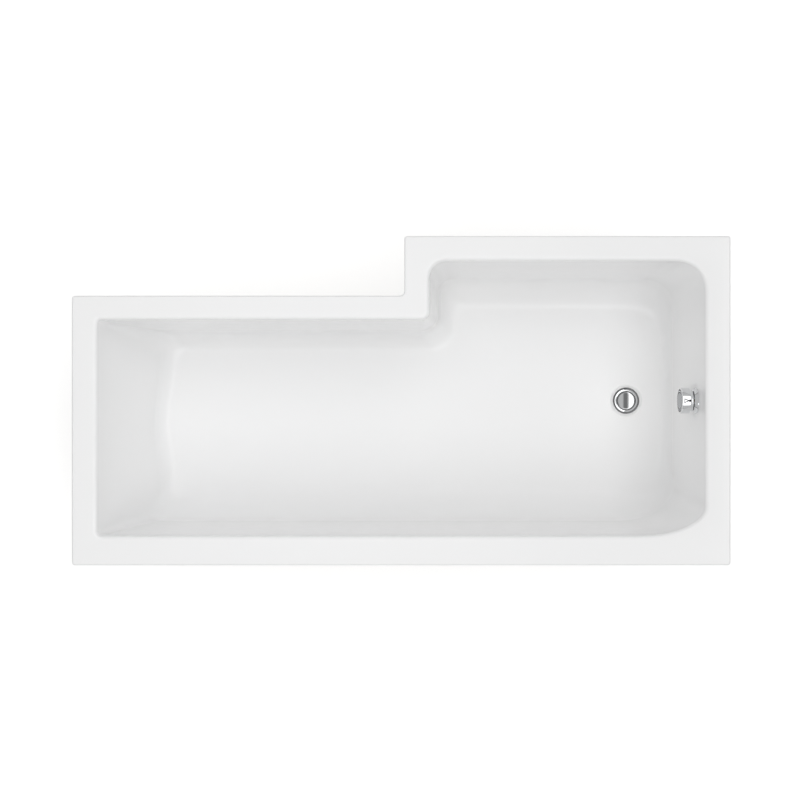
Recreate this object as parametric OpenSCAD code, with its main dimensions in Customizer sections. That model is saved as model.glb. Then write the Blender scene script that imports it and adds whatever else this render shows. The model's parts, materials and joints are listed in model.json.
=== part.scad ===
// Shower bath with an L-shaped tub: a narrow bathing end with a sloping back rest, and a wide
// square showering end with a pop-up waste and a turning overflow knob. It stands on three
// steel bars with six screw feet. Millimetres, +Z up. X runs from the head end to the waste
// end, Y from the straight front edge to the side that the showering end stands out on.

/* [Bath] */
// Overall length
bath_len = 1700; // [1600:10:1800]
// Width across the showering end
wide_w = 850; // [820:5:900]
// Width of the bathing end
narrow_w = 696; // [670:1:720]
// Length of the showering end
wide_len = 842; // [780:1:900]
// Height of the rim top above the floor, with the feet at mid travel
rim_z = 545; // [535:5:580]
// Depth of the tub at the head end of its floor
tub_depth = 395; // [370:5:410]
// Fall of the tub floor from the head end to the waste end
floor_fall = 8; // [4:1:12]
// Thickness of the acrylic sheet with its glass-fibre backing
shell_t = 6; // [5:0.5:7]

/* [Rim] */
// Thickness of the bare acrylic at the lip
lip_t = 4; // [3.5:0.5:4.5]
// Height of the turned-down lip
lip_h = 35; // [28:1:45]
// Radius of the outer edge of the rim
edge_r = 5.5; // [5:0.5:7]
// Radius of the rim's outer corners, seen from above
rim_corner_r = 8; // [7.5:0.5:12]
// Radius of the rim's inner corner at the step, seen from above
step_corner_r = 12; // [8:1:20]
// Radius where the rim rolls over into the walls
roll_r = 12; // [9:1:14]
// Flat width of the rim along the front
rim_front_w = 65; // [58:1:72]
// Flat width of the rim at the waste end
rim_waste_w = 53; // [50:1:62]
// Flat width of the rim along the wide side
rim_wide_w = 53; // [50:1:62]
// Flat width of the rim at the step
rim_step_w = 53; // [50:1:60]
// Flat width of the rim along the narrow side
rim_narrow_w = 51; // [49:1:60]
// Flat width of the rim at the head end
rim_head_w = 54; // [50:1:62]

/* [Walls] */
// How far the front wall leans in
lean_front = 30; // [20:1:40]
// How far the waste end wall leans in
lean_waste = 48; // [40:1:52]
// How far the wide side wall leans in
lean_wide = 40; // [30:1:50]
// How far the step wall leans in
lean_step = 34; // [25:1:40]
// How far the narrow side wall leans in
lean_narrow = 26; // [18:1:34]
// How far the back rest leans in
lean_head = 139; // [110:1:160]
// How far the foot of the back rest bows outwards
head_bow = 19; // [5:1:24]

/* [Floor sweeps] */
// Run of the sweep from the front wall to the floor
sweep_front = 95; // [70:1:105]
// Run of the sweep from the waste end wall to the floor
sweep_waste = 24; // [18:1:34]
// Run of the sweep from the wide side wall to the floor
sweep_wide = 80; // [60:1:90]
// Run of the sweep from the step wall to the floor
sweep_step = 45; // [30:1:55]
// Run of the sweep from the narrow side wall to the floor
sweep_narrow = 50; // [40:1:60]
// Run of the fold at the foot of the back rest
sweep_head = 30; // [20:1:40]
// Height of the front, wide and narrow sweeps
sweep_rise = 100; // [70:5:120]
// Height of the sweeps at the step and the waste end
end_rise = 60; // [40:5:80]
// Height of the fold at the foot of the back rest
fold_rise = 28; // [20:1:40]

/* [Tub corners] */
// Wall corner radius at the front of the head end
head_front_r = 12; // [9:1:20]
// Wall corner radius at the narrow side of the head end
head_narrow_r = 8; // [7:1:20]
// Wall corner radius at the front of the waste end, along the length
waste_front_rx = 170; // [120:5:200]
// Wall corner radius at the front of the waste end, across the width
waste_front_ry = 76; // [60:2:100]
// Wall corner radius at the wide side of the waste end
waste_wide_r = 88; // [60:2:110]
// Wall corner radius at the back of the showering end
shower_r = 44; // [30:2:60]
// Wall corner radius at the step
step_r = 22; // [19:1:30]
// Floor corner radius at the head end
head_floor_r = 50; // [30:2:70]
// Floor corner radius at the front of the waste end
waste_front_floor_r = 150; // [100:5:170]
// Floor corner radius at the wide side of the waste end
waste_wide_floor_r = 115; // [80:5:140]
// Floor corner radius at the back of the showering end
shower_floor_r = 42; // [30:2:50]
// Floor corner radius at the step
step_floor_r = 58; // [40:2:66]

/* [Boards] */
// Thickness of the base board
board_t = 18; // [15:1:22]
// Margin of the base board inside the floor's edge
board_margin = 16; // [12:1:30]
// Distance from the waste's centre to the end of the base board
board_to_waste = 78; // [72:1:100]
// Radius of the base board's corners
board_r = 40; // [20:5:60]
// Width of the rim battens
batten_w = 38; // [30:1:40]
// Thickness of the rim battens
batten_t = 18; // [12:1:20]
// Glue line between a bonded board and the tub
glue_gap = 0.3; // [0.2:0.05:0.4]

/* [Bars] */
// Width and height of the square steel bars
bar_w = 30; // [25:1:35]
// Wall of the square steel bars
bar_wall = 1.5; // [1.2:0.1:2.5]
// Outer corner radius of the bars
bar_corner_r = 3; // [3:0.25:4]
// Distance of the head bar from the head end of the tub
head_bar_x = 370; // [340:10:420]
// Distance of the middle bar past the step
mid_bar_x = 120; // [100:10:160]
// Distance of the waste bar from the waste's centre
waste_bar_x = 95; // [90:1:120]
// Distance from the rim's edge to the feet at the front and on the wide side
foot_inset = 95; // [90:1:100]
// Distance from the rim's edge to the foot on the narrow side
narrow_foot_inset = 70; // [66:1:74]
// How far a bar runs on past its feet
bar_end = 26; // [24:1:34]
// Thickness of the plastic end plugs
cap_t = 3; // [2:0.5:5]
// Depth of an end plug inside its bar
cap_depth = 9; // [6:1:10]

/* [Feet] */
// Radius of the foot studs
stud_r = 5; // [4:0.5:6]
// How far a stud stands above its weld nut, with the foot at mid travel
stud_spare = 34; // [30:1:40]
// Width across the flats of the nuts
nut_af = 17; // [16:0.5:20]
// Height of the nuts
nut_h = 8; // [6:0.5:9]
// Radius of the foot pads
pad_r = 27; // [24:1:32]
// Height of the foot pads
pad_h = 24; // [20:1:30]
// Thickness of a pad's base plate
pad_base_t = 5; // [4:0.5:6]
// Depth of the stud's socket in the pad
socket_depth = 16; // [12:1:18]
// Distance between the two floor screw holes of a pad
pad_hole_pitch = 68; // [66:1:76]
// Radius of the floor screw holes
pad_hole_r = 2.75; // [2:0.25:3.5]
// Radius of a pad's screw ears
ear_r = 9; // [8:1:12]
// Thickness of a pad's ribs
rib_t = 2.5; // [2:0.25:4]
// Radius of the screws that hold the bars to the board
screw_r = 2.5; // [2:0.25:3]
// How far those screws go into the board
screw_bite = 13; // [8:1:14]

/* [Waste] */
// Distance of the waste's centre from the waste end of the bath
waste_in = 231; // [215:1:245]
// Depth of the round recess in the tub floor that takes the waste
recess_h = 3; // [2:0.5:4]
// Radius of that recess
recess_r = 40; // [38:1:44]
// Radius of the waste's hole in the tub floor
waste_hole_r = 26; // [25.5:0.5:27]
// Radius of the chrome waste flange
flange_r = 36; // [34:0.5:37]
// Thickness of the waste flange at its edge
flange_t = 3.2; // [2.5:0.1:4]
// Radius of the flange's threaded throat
throat_r = 23.9; // [23:0.1:24.5]
// Wall of the throat
throat_wall = 2.8; // [2.5:0.1:3]
// Length of the throat below the flange
throat_len = 27; // [25:1:29]
// Thickness of the seal above the tub floor
top_seal_t = 1.2; // [1:0.1:2]
// Thickness of the seal below the tub floor
low_seal_t = 3; // [2:0.5:4]
// Radius of the plug's cap
plug_r = 25; // [24.5:0.1:25.2]
// Radius of the plug's stem
stem_r = 3; // [2.5:0.25:3.5]
// How far the plug lifts
plug_lift = 10; // [8:0.5:11]
// Radius of the waste body's cup
cup_r = 31; // [30:0.5:33]
// Wall of the waste body
body_wall = 3.5; // [3:0.25:4]
// Length of the threaded tail
tail_len = 30; // [20:1:34]
// Radius of the threaded tail
tail_r = 23.9; // [23:0.1:24.5]

/* [Lift lever] */
// Length of the rocker arm from its spindle to the plug stem
rocker_len = 20; // [18:0.5:21]
// Radius of the lever's spindle
spindle_r = 2.5; // [2:0.25:3]
// Length of the outer crank
crank_len = 16; // [14:0.5:18]
// Radius of the pull wire
wire_r = 1; // [0.8:0.1:1.2]
// Radius of the cable's sheath
sheath_r = 3; // [2.5:0.25:3.5]

/* [Overflow] */
// Depth of the overflow's centre below the rim
over_depth = 85; // [80:1:95]
// Tilt of the overflow's axis from level
over_tilt = 6; // [4:0.5:9]
// Radius of the overflow's hole in the wall
over_hole_r = 26; // [24:0.5:27]
// Radius of the flat round land that is pressed into the wall
land_r = 37; // [36:0.5:40]
// Radius of the chrome face plate at the wall
face_r = 34; // [33:0.5:35]
// Radius of the face plate at its front
face_front_r = 28; // [27:0.5:29]
// Height of the face plate
face_h = 11; // [9:0.5:12]
// Radius of the knob's drum
knob_r = 34; // [32:0.5:35]
// Length of the knob's drum
drum_len = 25; // [22:0.5:28]
// Radius of the knob's neck
neck_r = 27.5; // [26.5:0.5:28]
// Length of the knob's neck
neck_len = 6.5; // [5:0.5:8]
// Height of the ring slot that lets water in behind the knob
slot_h = 2.2; // [1.6:0.1:3]
// Radius of the knob's shaft
shaft_r = 4; // [3.5:0.25:4.5]
// Thickness of the gasket behind the wall
gasket_t = 3; // [2:0.5:4]
// Radius of the overflow housing
house_r = 31; // [30.5:0.5:33]
// Depth of the overflow housing
house_len = 34; // [30:1:36]

/* [Overflow hose] */
// Radius of the hose ports
port_r = 19; // [18.5:0.5:20]
// Wall of the hose ports
port_wall = 3.2; // [3:0.1:3.5]
// How far the ports stand out
port_len = 18; // [16:1:22]
// Radius of the hose over its ribs
hose_r = 16.5; // [15.5:0.25:17]
// Height of the hose's ribs
rib_h = 2; // [1:0.25:2.5]
// Wall of the hose
hose_wall = 1.8; // [1.6:0.1:2]
// Spacing of the hose's ribs
rib_pitch = 5; // [4:0.5:8]
// Radius of the hose's bend
hose_bend_r = 100; // [80:5:120]

/* [Fits] */
// Gap between a turning or sliding shaft and its hole, on the radius
run_gap = 0.06; // [0.03:0.01:0.1]
// Gap between fitted pieces that are clamped or pushed together
seat_gap = 0.3; // [0.2:0.05:0.4]

/* [Hidden] */
$fn = 64;

// ---- Outline of the tub: six sides and six corners, counterclockwise from the front ----
// Sides: 0 front, 1 waste end, 2 wide side, 3 step, 4 narrow side, 5 head end.
// Corner c lies before side c; corner 4, at the step, turns the other way.
x_end = bath_len / 2;
y_front = -wide_w / 2;
y_wide = wide_w / 2;
y_narrow = y_front + narrow_w;
x_step = x_end - wide_len;

RIM_W = [rim_front_w, rim_waste_w, rim_wide_w, rim_step_w, rim_narrow_w, rim_head_w];
LEAN = [lean_front, lean_waste, lean_wide, lean_step, lean_narrow, lean_head];
// Above 0 a wall leans most near the rim, below 0 most near the floor
LEAN_SHAPE = [0, 0.5, 0, 0.2, 0, -0.35];
SWEEP = [sweep_front, sweep_waste, sweep_wide, sweep_step, sweep_narrow, sweep_head];
RISE = [sweep_rise, end_rise, sweep_rise, end_rise, sweep_rise, fold_rise];
WALL_R = [
    [head_front_r, head_front_r], [waste_front_rx, waste_front_ry],
    [waste_wide_r, waste_wide_r], [shower_r, shower_r], [step_r, step_r],
    [head_narrow_r, head_narrow_r]
];
// The two floor corners beside the step share the room between the wide and narrow floor edges
step_room = side_at(2, total_inset(2)) - side_at(4, total_inset(4));
corner_share = min(1, 0.95 * step_room / (shower_floor_r + step_floor_r));
FLOOR_R = [
    [head_floor_r, head_floor_r], [waste_front_floor_r, waste_front_floor_r * 0.8],
    [waste_wide_floor_r, waste_wide_floor_r], corner_share * [shower_floor_r, shower_floor_r],
    corner_share * [step_floor_r, step_floor_r], [head_floor_r, head_floor_r]
];
STEP = 4;
HEAD = 5;
// Where each corner's arc starts and how far it turns
ARC_START = [180, 270, 0, 90, 0, 90];
ARC_TURN = [90, 90, 90, 90, -90, 90];
// From a corner's point to the centre of its arc
TO_CENTRE = [[1, 1], [-1, 1], [-1, -1], [1, -1], [-1, 1], [1, -1]];
ARC_STEPS = [6, 10, 9, 8, 8, 6];
SIDE_STEPS = [5, 4, 4, 2, 4, 8];
// Above 2 a corner is squarer than an ellipse
ARC_POWER = [2, 2, 2.5, 2, 2, 2];

function bent(v, power) = sign(v) * pow(abs(v), 2 / power);
function side_at(s, inset) = [
    y_front + inset, x_end - inset, y_wide - inset,
    x_step + inset, y_narrow - inset, -x_end + inset
][s];
// The corner's sharp point, with one of its two sides along X and the other along Y
function corner_at(c, i) =
    c == 0 ? [side_at(5, i[5]), side_at(0, i[0])]
    : c == 1 ? [side_at(1, i[1]), side_at(0, i[0])]
    : c == 2 ? [side_at(1, i[1]), side_at(2, i[2])]
    : c == 3 ? [side_at(3, i[3]), side_at(2, i[2])]
    : c == 4 ? [side_at(3, i[3]), side_at(4, i[4])]
    : [side_at(5, i[5]), side_at(4, i[4])];
function arc_point(c, at, r, k) =
    let(a = ARC_START[c] + ARC_TURN[c] * k / ARC_STEPS[c], p = ARC_POWER[c])
    [
        at.x + r.x * (TO_CENTRE[c].x + bent(cos(a), p)),
        at.y + r.y * (TO_CENTRE[c].y + bent(sin(a), p))
    ];
function arc_points(c, i, r) =
    [for (k = [0:ARC_STEPS[c]]) arc_point(c, corner_at(c, i), r[c], k)];
// A side's points between two arcs; the head end's bow starts and ends smoothly
function side_points(s, a, b, bow) = [
    for (k = [1:SIDE_STEPS[s] - 1])
        let(f = k / SIDE_STEPS[s], out = s == HEAD ? bow * (1 - cos(360 * f)) / 2 : 0)
        a + (b - a) * f - [out, 0]
];
function outline(i, r, bow = 0) =
    let(arcs = [for (c = [0:5]) arc_points(c, i, r)])
    [
        for (c = [0:5])
            let(ends = side_points(c, arcs[c][ARC_STEPS[c]], arcs[(c + 1) % 6][0], bow))
            for (p = concat(arcs[c], ends)) p
    ];

// ---- Height of the tub floor, which falls towards the waste end ----
function total_inset(s) = RIM_W[s] + roll_r + LEAN[s] + SWEEP[s];
floor_x0 = side_at(5, total_inset(5));
floor_x1 = side_at(1, total_inset(1));
fall_slope = floor_fall / (floor_x1 - floor_x0);
fall_angle = atan(fall_slope);
function floor_z(x) = rim_z - tub_depth - fall_slope * (x - floor_x0);
function sunk(x, depth) = rim_z - depth * (rim_z - floor_z(x)) / tub_depth;

// ---- Rings of the tub's visible surface, from the lip's lower edge to the floor ----
function edge_ring(a, down = 0) =
    let(e = edge_r * (1 - cos(a)), z = rim_z - edge_r * (1 - sin(a)) - down)
    [
        for (p = outline(
            [for (s = [0:5]) e],
            [for (c = [0:5]) let(r = c == STEP ? step_corner_r + e : rim_corner_r - e) [r, r]]
        )) [p.x, p.y, z]
    ];
function roll_ring(a) =
    let(run = roll_r * sin(a), left = roll_r - run)
    [
        for (p = outline(
            [for (s = [0:5]) RIM_W[s] + run],
            [for (c = [0:5]) WALL_R[c] + (c == STEP ? -1 : 1) * [left, left]]
        )) [p.x, p.y, rim_z - roll_r * (1 - cos(a))]
    ];
function sweep_part(s, depth) =
    let(v = max(0, 1 - (tub_depth - depth) / RISE[s]))
    SWEEP[s] * (1 - sqrt(1 - v * v));
function wall_inset(s, depth) =
    let(u = (depth - roll_r) / (tub_depth - roll_r))
    RIM_W[s] + roll_r + LEAN[s] * (u + LEAN_SHAPE[s] * u * (1 - u)) + sweep_part(s, depth);
function wall_ring(depth) =
    let(u = (depth - roll_r) / (tub_depth - roll_r))
    [
        for (p = outline(
            [for (s = [0:5]) wall_inset(s, depth)],
            [for (c = [0:5]) WALL_R[c] + (FLOOR_R[c] - WALL_R[c]) * u],
            head_bow * u * u
        )) [p.x, p.y, sunk(p.x, depth)]
    ];
// Heights above the floor at which rings lie close together, as shares of the tallest sweep
SWEEP_RINGS = [1, 0.78, 0.58, 0.41, 0.27, 0.16, 0.08, 0.03, 0.008, 0];
WALL_RINGS = [0.12, 0.3, 0.5, 0.75];
wall_top = roll_r;
wall_foot = tub_depth - sweep_rise;
RINGS = concat(
    [edge_ring(0, lip_h - edge_r)],
    [for (a = [0, 30, 60, 90]) edge_ring(a)],
    [for (a = [0, 30, 60, 90]) roll_ring(a)],
    [for (f = WALL_RINGS) wall_ring(wall_top + (wall_foot - wall_top) * f)],
    [for (f = SWEEP_RINGS) wall_ring(tub_depth - sweep_rise * f)]
);
LIP_RINGS = 6;
n_ring = len(RINGS);
n_pt = len(RINGS[0]);

// ---- The back of the sheet, one thickness behind each point ----
floor_down = [-sin(fall_angle), 0, -cos(fall_angle)];
function unit(v) = v / norm(v);
function back_way(k, j) =
    k == n_ring - 1 ? floor_down
    : unit(cross(
        RINGS[min(k + 1, n_ring - 1)][j] - RINGS[max(k - 1, 0)][j],
        RINGS[k][(j + 1) % n_pt] - RINGS[k][(j + n_pt - 1) % n_pt]
    ));
function sheet_t(k) = k < LIP_RINGS ? lip_t : shell_t;
BACKS = [
    for (k = [0:n_ring - 1]) [for (j = [0:n_pt - 1]) RINGS[k][j] + sheet_t(k) * back_way(k, j)]
];
// A point on the floor from which its whole edge can be seen
hub_past_step = 300;
hub_x = x_step + hub_past_step;
hub_y = -40;
// Length by which a cut runs clear of the sheet
cut_run = 20;

// ---- Places that pieces share ----
waste_x = x_end - waste_in;
waste_y = (y_front + y_wide) / 2;
seat_z = floor_z(waste_x) - recess_h;
under_z = seat_z - shell_t;
body_top_z = under_z - low_seal_t;
over_x = side_at(1, wall_inset(1, over_depth));
over_z = rim_z - over_depth;
throat_in_r = throat_r - throat_wall;

function bar_top_z(x) =
    floor_z(x + bar_w / 2) - (shell_t + glue_gap + board_t) / cos(fall_angle) - seat_gap;
head_foot_x = -x_end + head_bar_x;
mid_foot_x = x_step + mid_bar_x;
waste_foot_x = waste_x - waste_bar_x;
front_foot_y = y_front + foot_inset;
// Each foot's place: two on each bar, the front one first
FEET = [
    [head_foot_x, front_foot_y], [head_foot_x, y_narrow - narrow_foot_inset],
    [mid_foot_x, front_foot_y], [mid_foot_x, y_wide - foot_inset],
    [waste_foot_x, front_foot_y], [waste_foot_x, y_wide - foot_inset]
];

// A hexagon nut with its corners turned down at both faces
module nut(af, h, bore_r) {
    corner_r = af / 2 / cos(30);
    face_at = af / 2 * 0.94;
    drop = (corner_r - face_at) * tan(30);
    difference() {
        intersection() {
            cylinder(r = corner_r, h = h, $fn = 6);
            rotate_extrude() polygon([
                [0, 0], [face_at, 0], [corner_r, drop], [corner_r, h - drop], [face_at, h], [0, h]
            ]);
        }
        translate([0, 0, -1]) cylinder(r = bore_r, h = h + 2);
    }
}

module ring_solid(r_out, r_in, h) {
    difference() {
        cylinder(r = r_out, h = h);
        translate([0, 0, -1]) cylinder(r = r_in, h = h + 2);
    }
}

// Local Z points out of the wall into the tub, local X points up
module at_overflow() {
    translate([over_x, waste_y, over_z]) rotate([0, over_tilt - 90, 0]) children();
}

module at_waste() {
    translate([waste_x, waste_y, seat_z]) children();
}

// ---- Tub ----
module tub_sheet() {
    points = concat(
        [for (ring = RINGS) for (p = ring) p],
        [for (ring = BACKS) for (p = ring) p],
        [[hub_x, hub_y, floor_z(hub_x)]],
        [[hub_x, hub_y, floor_z(hub_x)] + shell_t * floor_down]
    );
    back = n_ring * n_pt;
    last = (n_ring - 1) * n_pt;
    front_hub = 2 * back;
    faces = concat(
        [for (k = [0:n_ring - 2]) for (j = [0:n_pt - 1])
            let(a = k * n_pt + j, b = k * n_pt + (j + 1) % n_pt)
            each [
                [a, b + n_pt, b], [a, a + n_pt, b + n_pt],
                [back + a, back + b, back + b + n_pt], [back + a, back + b + n_pt, back + a + n_pt]
            ]],
        [for (j = [0:n_pt - 1]) let(b = (j + 1) % n_pt)
            each [
                [j, b, back + b], [j, back + b, back + j],
                [last + j, front_hub, last + b], [back + last + b, front_hub + 1, back + last + j]
            ]]
    );
    polyhedron(points = points, faces = faces, convexity = 8);
}

module bath_shell() {
    color("white") difference() {
        union() {
            tub_sheet();
            at_waste() translate([0, 0, -shell_t]) cylinder(r = recess_r + shell_t, h = shell_t);
            at_overflow() translate([0, 0, -shell_t]) cylinder(r = land_r + 2, h = shell_t);
        }
        at_waste() {
            cylinder(r = recess_r, h = cut_run);
            translate([0, 0, -cut_run]) cylinder(r = waste_hole_r, h = 2 * cut_run);
        }
        at_overflow() {
            cylinder(r = land_r, h = cut_run);
            translate([0, 0, -cut_run]) cylinder(r = over_hole_r, h = 2 * cut_run);
            translate([0, 0, -shell_t - cut_run]) cylinder(r = land_r, h = cut_run);
        }
    }
}

// ---- Boards that stiffen the tub ----
function round_corner(at, way, r, a0, turn) =
    [for (k = [0:6]) let(a = a0 + turn * k / 6) at + r * [way.x + cos(a), way.y + sin(a)]];

module base_board() {
    x0 = floor_x0 + board_margin;
    x1 = waste_x - board_to_waste;
    xs = side_at(3, total_inset(3)) + board_margin;
    y0 = side_at(0, total_inset(0)) + board_margin;
    yn = side_at(4, total_inset(4)) - board_margin;
    yw = side_at(2, total_inset(2)) - board_margin;
    shape = concat(
        round_corner([x0, y0], [1, 1], board_r, 180, 90),
        round_corner([x1, y0], [-1, 1], board_r, 270, 90),
        round_corner([x1, yw], [-1, -1], board_r, 0, 90),
        round_corner([xs, yw], [1, -1], board_r, 90, 90),
        [[xs, yn]],
        round_corner([x0, yn], [1, -1], board_r, 90, 90)
    );
    color("burlywood") difference() {
        translate([0, 0, floor_z(0) - (shell_t + glue_gap + board_t) / cos(fall_angle)])
            rotate([0, fall_angle, 0])
            linear_extrude(board_t) polygon(shape);
        for (b = [0:2]) for (y = SCREW_YS)
            translate([FEET[2 * b].x, y, bar_top_z(FEET[2 * b].x) - 1])
                cylinder(r = screw_r + run_gap, h = screw_bite + 2);
    }
}

batten_z = rim_z - lip_t - glue_gap - batten_t;
// Distance from the bath's edge to a batten's near side
batten_in = lip_t + 4;

module batten(x0, y0, x1, y1) {
    color("tan") translate([x0, y0, batten_z]) cube([x1 - x0, y1 - y0, batten_t]);
}

near = batten_in;
far = batten_in + batten_w;

module batten_front() { batten(-x_end + near, y_front + near, x_end - near, y_front + far); }
module batten_wide_side() { batten(x_step + near, y_wide - far, x_end - near, y_wide - near); }
module batten_waste_end() {
    batten(x_end - far, y_front + far + glue_gap, x_end - near, y_wide - far - glue_gap);
}
module batten_step() {
    batten(x_step + near, y_narrow - far, x_step + far, y_wide - far - glue_gap);
}
module batten_narrow_side() {
    batten(-x_end + near, y_narrow - far, x_step + near - glue_gap, y_narrow - near);
}
module batten_head_end() {
    batten(-x_end + near, y_front + far + glue_gap, -x_end + far, y_narrow - far - glue_gap);
}

// ---- Steel bars across the base board, with their plugs and screws ----
function bar_y0(b) = FEET[2 * b].y - bar_end;
function bar_y1(b) = FEET[2 * b + 1].y + bar_end;
SCREW_YS = [-150, 60];

// A square with round corners
module bar_section(w, r) {
    e = w / 2;
    polygon(concat(
        round_corner([-e, -e], [1, 1], r, 180, 90), round_corner([e, -e], [-1, 1], r, 270, 90),
        round_corner([e, e], [-1, -1], r, 0, 90), round_corner([-e, e], [1, -1], r, 90, 90)
    ));
}

module bar(b) {
    x = FEET[2 * b].x;
    length = bar_y1(b) - bar_y0(b);
    color("silver") translate([x, bar_y0(b), bar_top_z(x) - bar_w]) difference() {
        translate([0, length, bar_w / 2]) rotate([90, 0, 0]) linear_extrude(length) difference() {
            bar_section(bar_w, bar_corner_r);
            bar_section(bar_w - 2 * bar_wall, bar_corner_r - bar_wall);
        }
        for (k = [0, 1])
            translate([0, FEET[2 * b + k].y - bar_y0(b), -1]) cylinder(r = stud_r + 0.5, h = bar_w + 2);
        for (y = SCREW_YS)
            translate([0, y - bar_y0(b), -1]) cylinder(r = screw_r + seat_gap, h = bar_w + 2);
    }
}
module bar_head() { bar(0); }
module bar_middle() { bar(1); }
module bar_waste() { bar(2); }

module end_plug() {
    inner = bar_w - 2 * bar_wall - 2 * seat_gap;
    plug_wall = 2;
    translate([0, cap_t, -bar_w / 2]) rotate([90, 0, 0]) linear_extrude(cap_t)
        bar_section(bar_w, bar_corner_r);
    translate([0, 1, -bar_w / 2]) rotate([90, 0, 0]) linear_extrude(cap_depth + 1) difference() {
        bar_section(inner, bar_corner_r - bar_wall);
        square(inner - 2 * plug_wall, center = true);
    }
}

module bar_end_plugs() {
    color("dimgray") for (b = [0:2]) {
        x = FEET[2 * b].x;
        translate([x, bar_y1(b), bar_top_z(x)]) end_plug();
        translate([x, bar_y0(b), bar_top_z(x)]) mirror([0, 1, 0]) end_plug();
    }
}

module board_screws() {
    head_h = 3;
    color("silver") for (b = [0:2]) for (y = SCREW_YS) {
        x = FEET[2 * b].x;
        translate([x, y, bar_top_z(x) - bar_w - head_h]) {
            cylinder(r = screw_r * 2, h = head_h);
            cylinder(r = screw_r, h = head_h + bar_w + screw_bite);
        }
    }
}

module weld_nuts() {
    color("silver") for (f = FEET) translate([f.x, f.y, bar_top_z(f.x)])
        nut(nut_af, nut_h, stud_r + run_gap);
}

module lock_nuts() {
    color("silver") for (f = FEET) translate([f.x, f.y, bar_top_z(f.x) - bar_w - nut_h])
        nut(nut_af, nut_h, stud_r + run_gap);
}

// ---- Screw feet ----
socket_z = pad_h - socket_depth;

module foot_stud(k) {
    top = bar_top_z(FEET[k].x) + nut_h + stud_spare;
    color("silver") translate([FEET[k].x, FEET[k].y, socket_z]) {
        cylinder(r = stud_r, h = top - socket_z - 1);
        translate([0, 0, top - socket_z - 1]) cylinder(r1 = stud_r, r2 = stud_r - 1, h = 1);
    }
}
module foot_stud_1() { foot_stud(0); }
module foot_stud_2() { foot_stud(1); }
module foot_stud_3() { foot_stud(2); }
module foot_stud_4() { foot_stud(3); }
module foot_stud_5() { foot_stud(4); }
module foot_stud_6() { foot_stud(5); }

module foot_pad(k) {
    neck = stud_r + 5;
    ear_x = pad_hole_pitch / 2;
    color("dimgray") translate([FEET[k].x, FEET[k].y, 0]) difference() {
        union() {
            rotate_extrude() polygon([
                [0, 0], [pad_r, 0], [pad_r, pad_base_t - 1], [pad_r - 1, pad_base_t],
                [neck + 5, pad_base_t + 4], [neck, pad_base_t + 9], [neck, pad_h - 1],
                [neck - 1, pad_h], [0, pad_h]
            ]);
            translate([-ear_x, -ear_r, 0]) cube([2 * ear_x, 2 * ear_r, pad_base_t - 1]);
            for (s = [-1, 1]) translate([s * ear_x, 0, 0]) cylinder(r = ear_r, h = pad_base_t - 1);
            for (a = [30:60:330]) rotate(a) translate([0, rib_t / 2, 0]) rotate([90, 0, 0])
                linear_extrude(rib_t)
                polygon([[stud_r + 1, 1], [pad_r - 2, 1], [pad_r - 2, pad_base_t + 1], [neck - 1, pad_h - 4],
                         [stud_r + 1, pad_h - 4]]);
        }
        translate([0, 0, socket_z]) cylinder(r = stud_r + run_gap, h = pad_h);
        for (s = [-1, 1]) translate([s * ear_x, 0, -1]) cylinder(r = pad_hole_r, h = pad_h);
    }
}
module foot_pad_1() { foot_pad(0); }
module foot_pad_2() { foot_pad(1); }
module foot_pad_3() { foot_pad(2); }
module foot_pad_4() { foot_pad(3); }
module foot_pad_5() { foot_pad(4); }
module foot_pad_6() { foot_pad(5); }

// ---- Pop-up waste: heights are from the recess in the tub floor ----
// The plug's cone seat narrows from the flange's top to its throat
cone_top_r = plug_r + 1.8;
flange_top = top_seal_t + flange_t;
cone_top_z = flange_top - 0.3;
cone_low_z = -1;
throat_end = top_seal_t - throat_len;
hub_r = 6.5;
hub_h = 8;
plug_ring_r = 1.5;

module waste_flange() {
    color("gainsboro") at_waste() difference() {
        union() {
            rotate_extrude() polygon([
                [flange_r, top_seal_t], [flange_r, flange_top - 1.4], [flange_r - 1, flange_top - 0.4],
                [flange_r - 3, flange_top + 0.1], [cone_top_r + 1.5, flange_top + 0.4],
                [cone_top_r + 0.5, flange_top + 0.2], [cone_top_r, cone_top_z],
                [throat_in_r, cone_low_z], [throat_in_r, throat_end], [throat_r, throat_end],
                [throat_r, top_seal_t - 1], [throat_r + 0.8, top_seal_t]
            ]);
            translate([0, 0, throat_end]) {
                cylinder(r = hub_r, h = hub_h);
                for (a = [45, 135]) rotate(a)
                    translate([-throat_in_r - 1, -1.5, 0]) cube([2 * throat_in_r + 2, 3, 4]);
            }
        }
        translate([0, 0, throat_end - 1]) cylinder(r = stem_r + run_gap, h = hub_h + 2);
    }
}

module waste_top_seal() {
    color("dimgray") at_waste() ring_solid(flange_r - 1.5, waste_hole_r + 1, top_seal_t);
}

module waste_low_seal() {
    color("dimgray") at_waste() translate([0, 0, -shell_t - low_seal_t])
        ring_solid(cup_r + 4, waste_hole_r + 1, low_seal_t);
}

skirt_r = cone_top_r - 6.7;
plug_under = flange_top - 1.1;

module plug_cap() {
    color("gainsboro") at_waste() rotate_extrude() polygon([
        [0, flange_top + 1.2], [plug_r - 9, flange_top + 1.5], [plug_r - 2, flange_top + 1.6],
        [plug_r - 0.6, flange_top + 1.2], [plug_r, flange_top + 0.4], [plug_r - 0.2, flange_top - 0.2],
        [plug_r - 1.8, plug_under], [skirt_r, plug_under], [skirt_r, 0.6], [skirt_r + 0.8, 0.1],
        [skirt_r + 0.8, -0.8], [0, -0.8]
    ]);
}

module plug_seal() {
    color("dimgray") at_waste() translate([0, 0, plug_under - plug_ring_r - 0.1])
        rotate_extrude() translate([skirt_r + plug_ring_r, 0]) circle(r = plug_ring_r);
}

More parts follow.
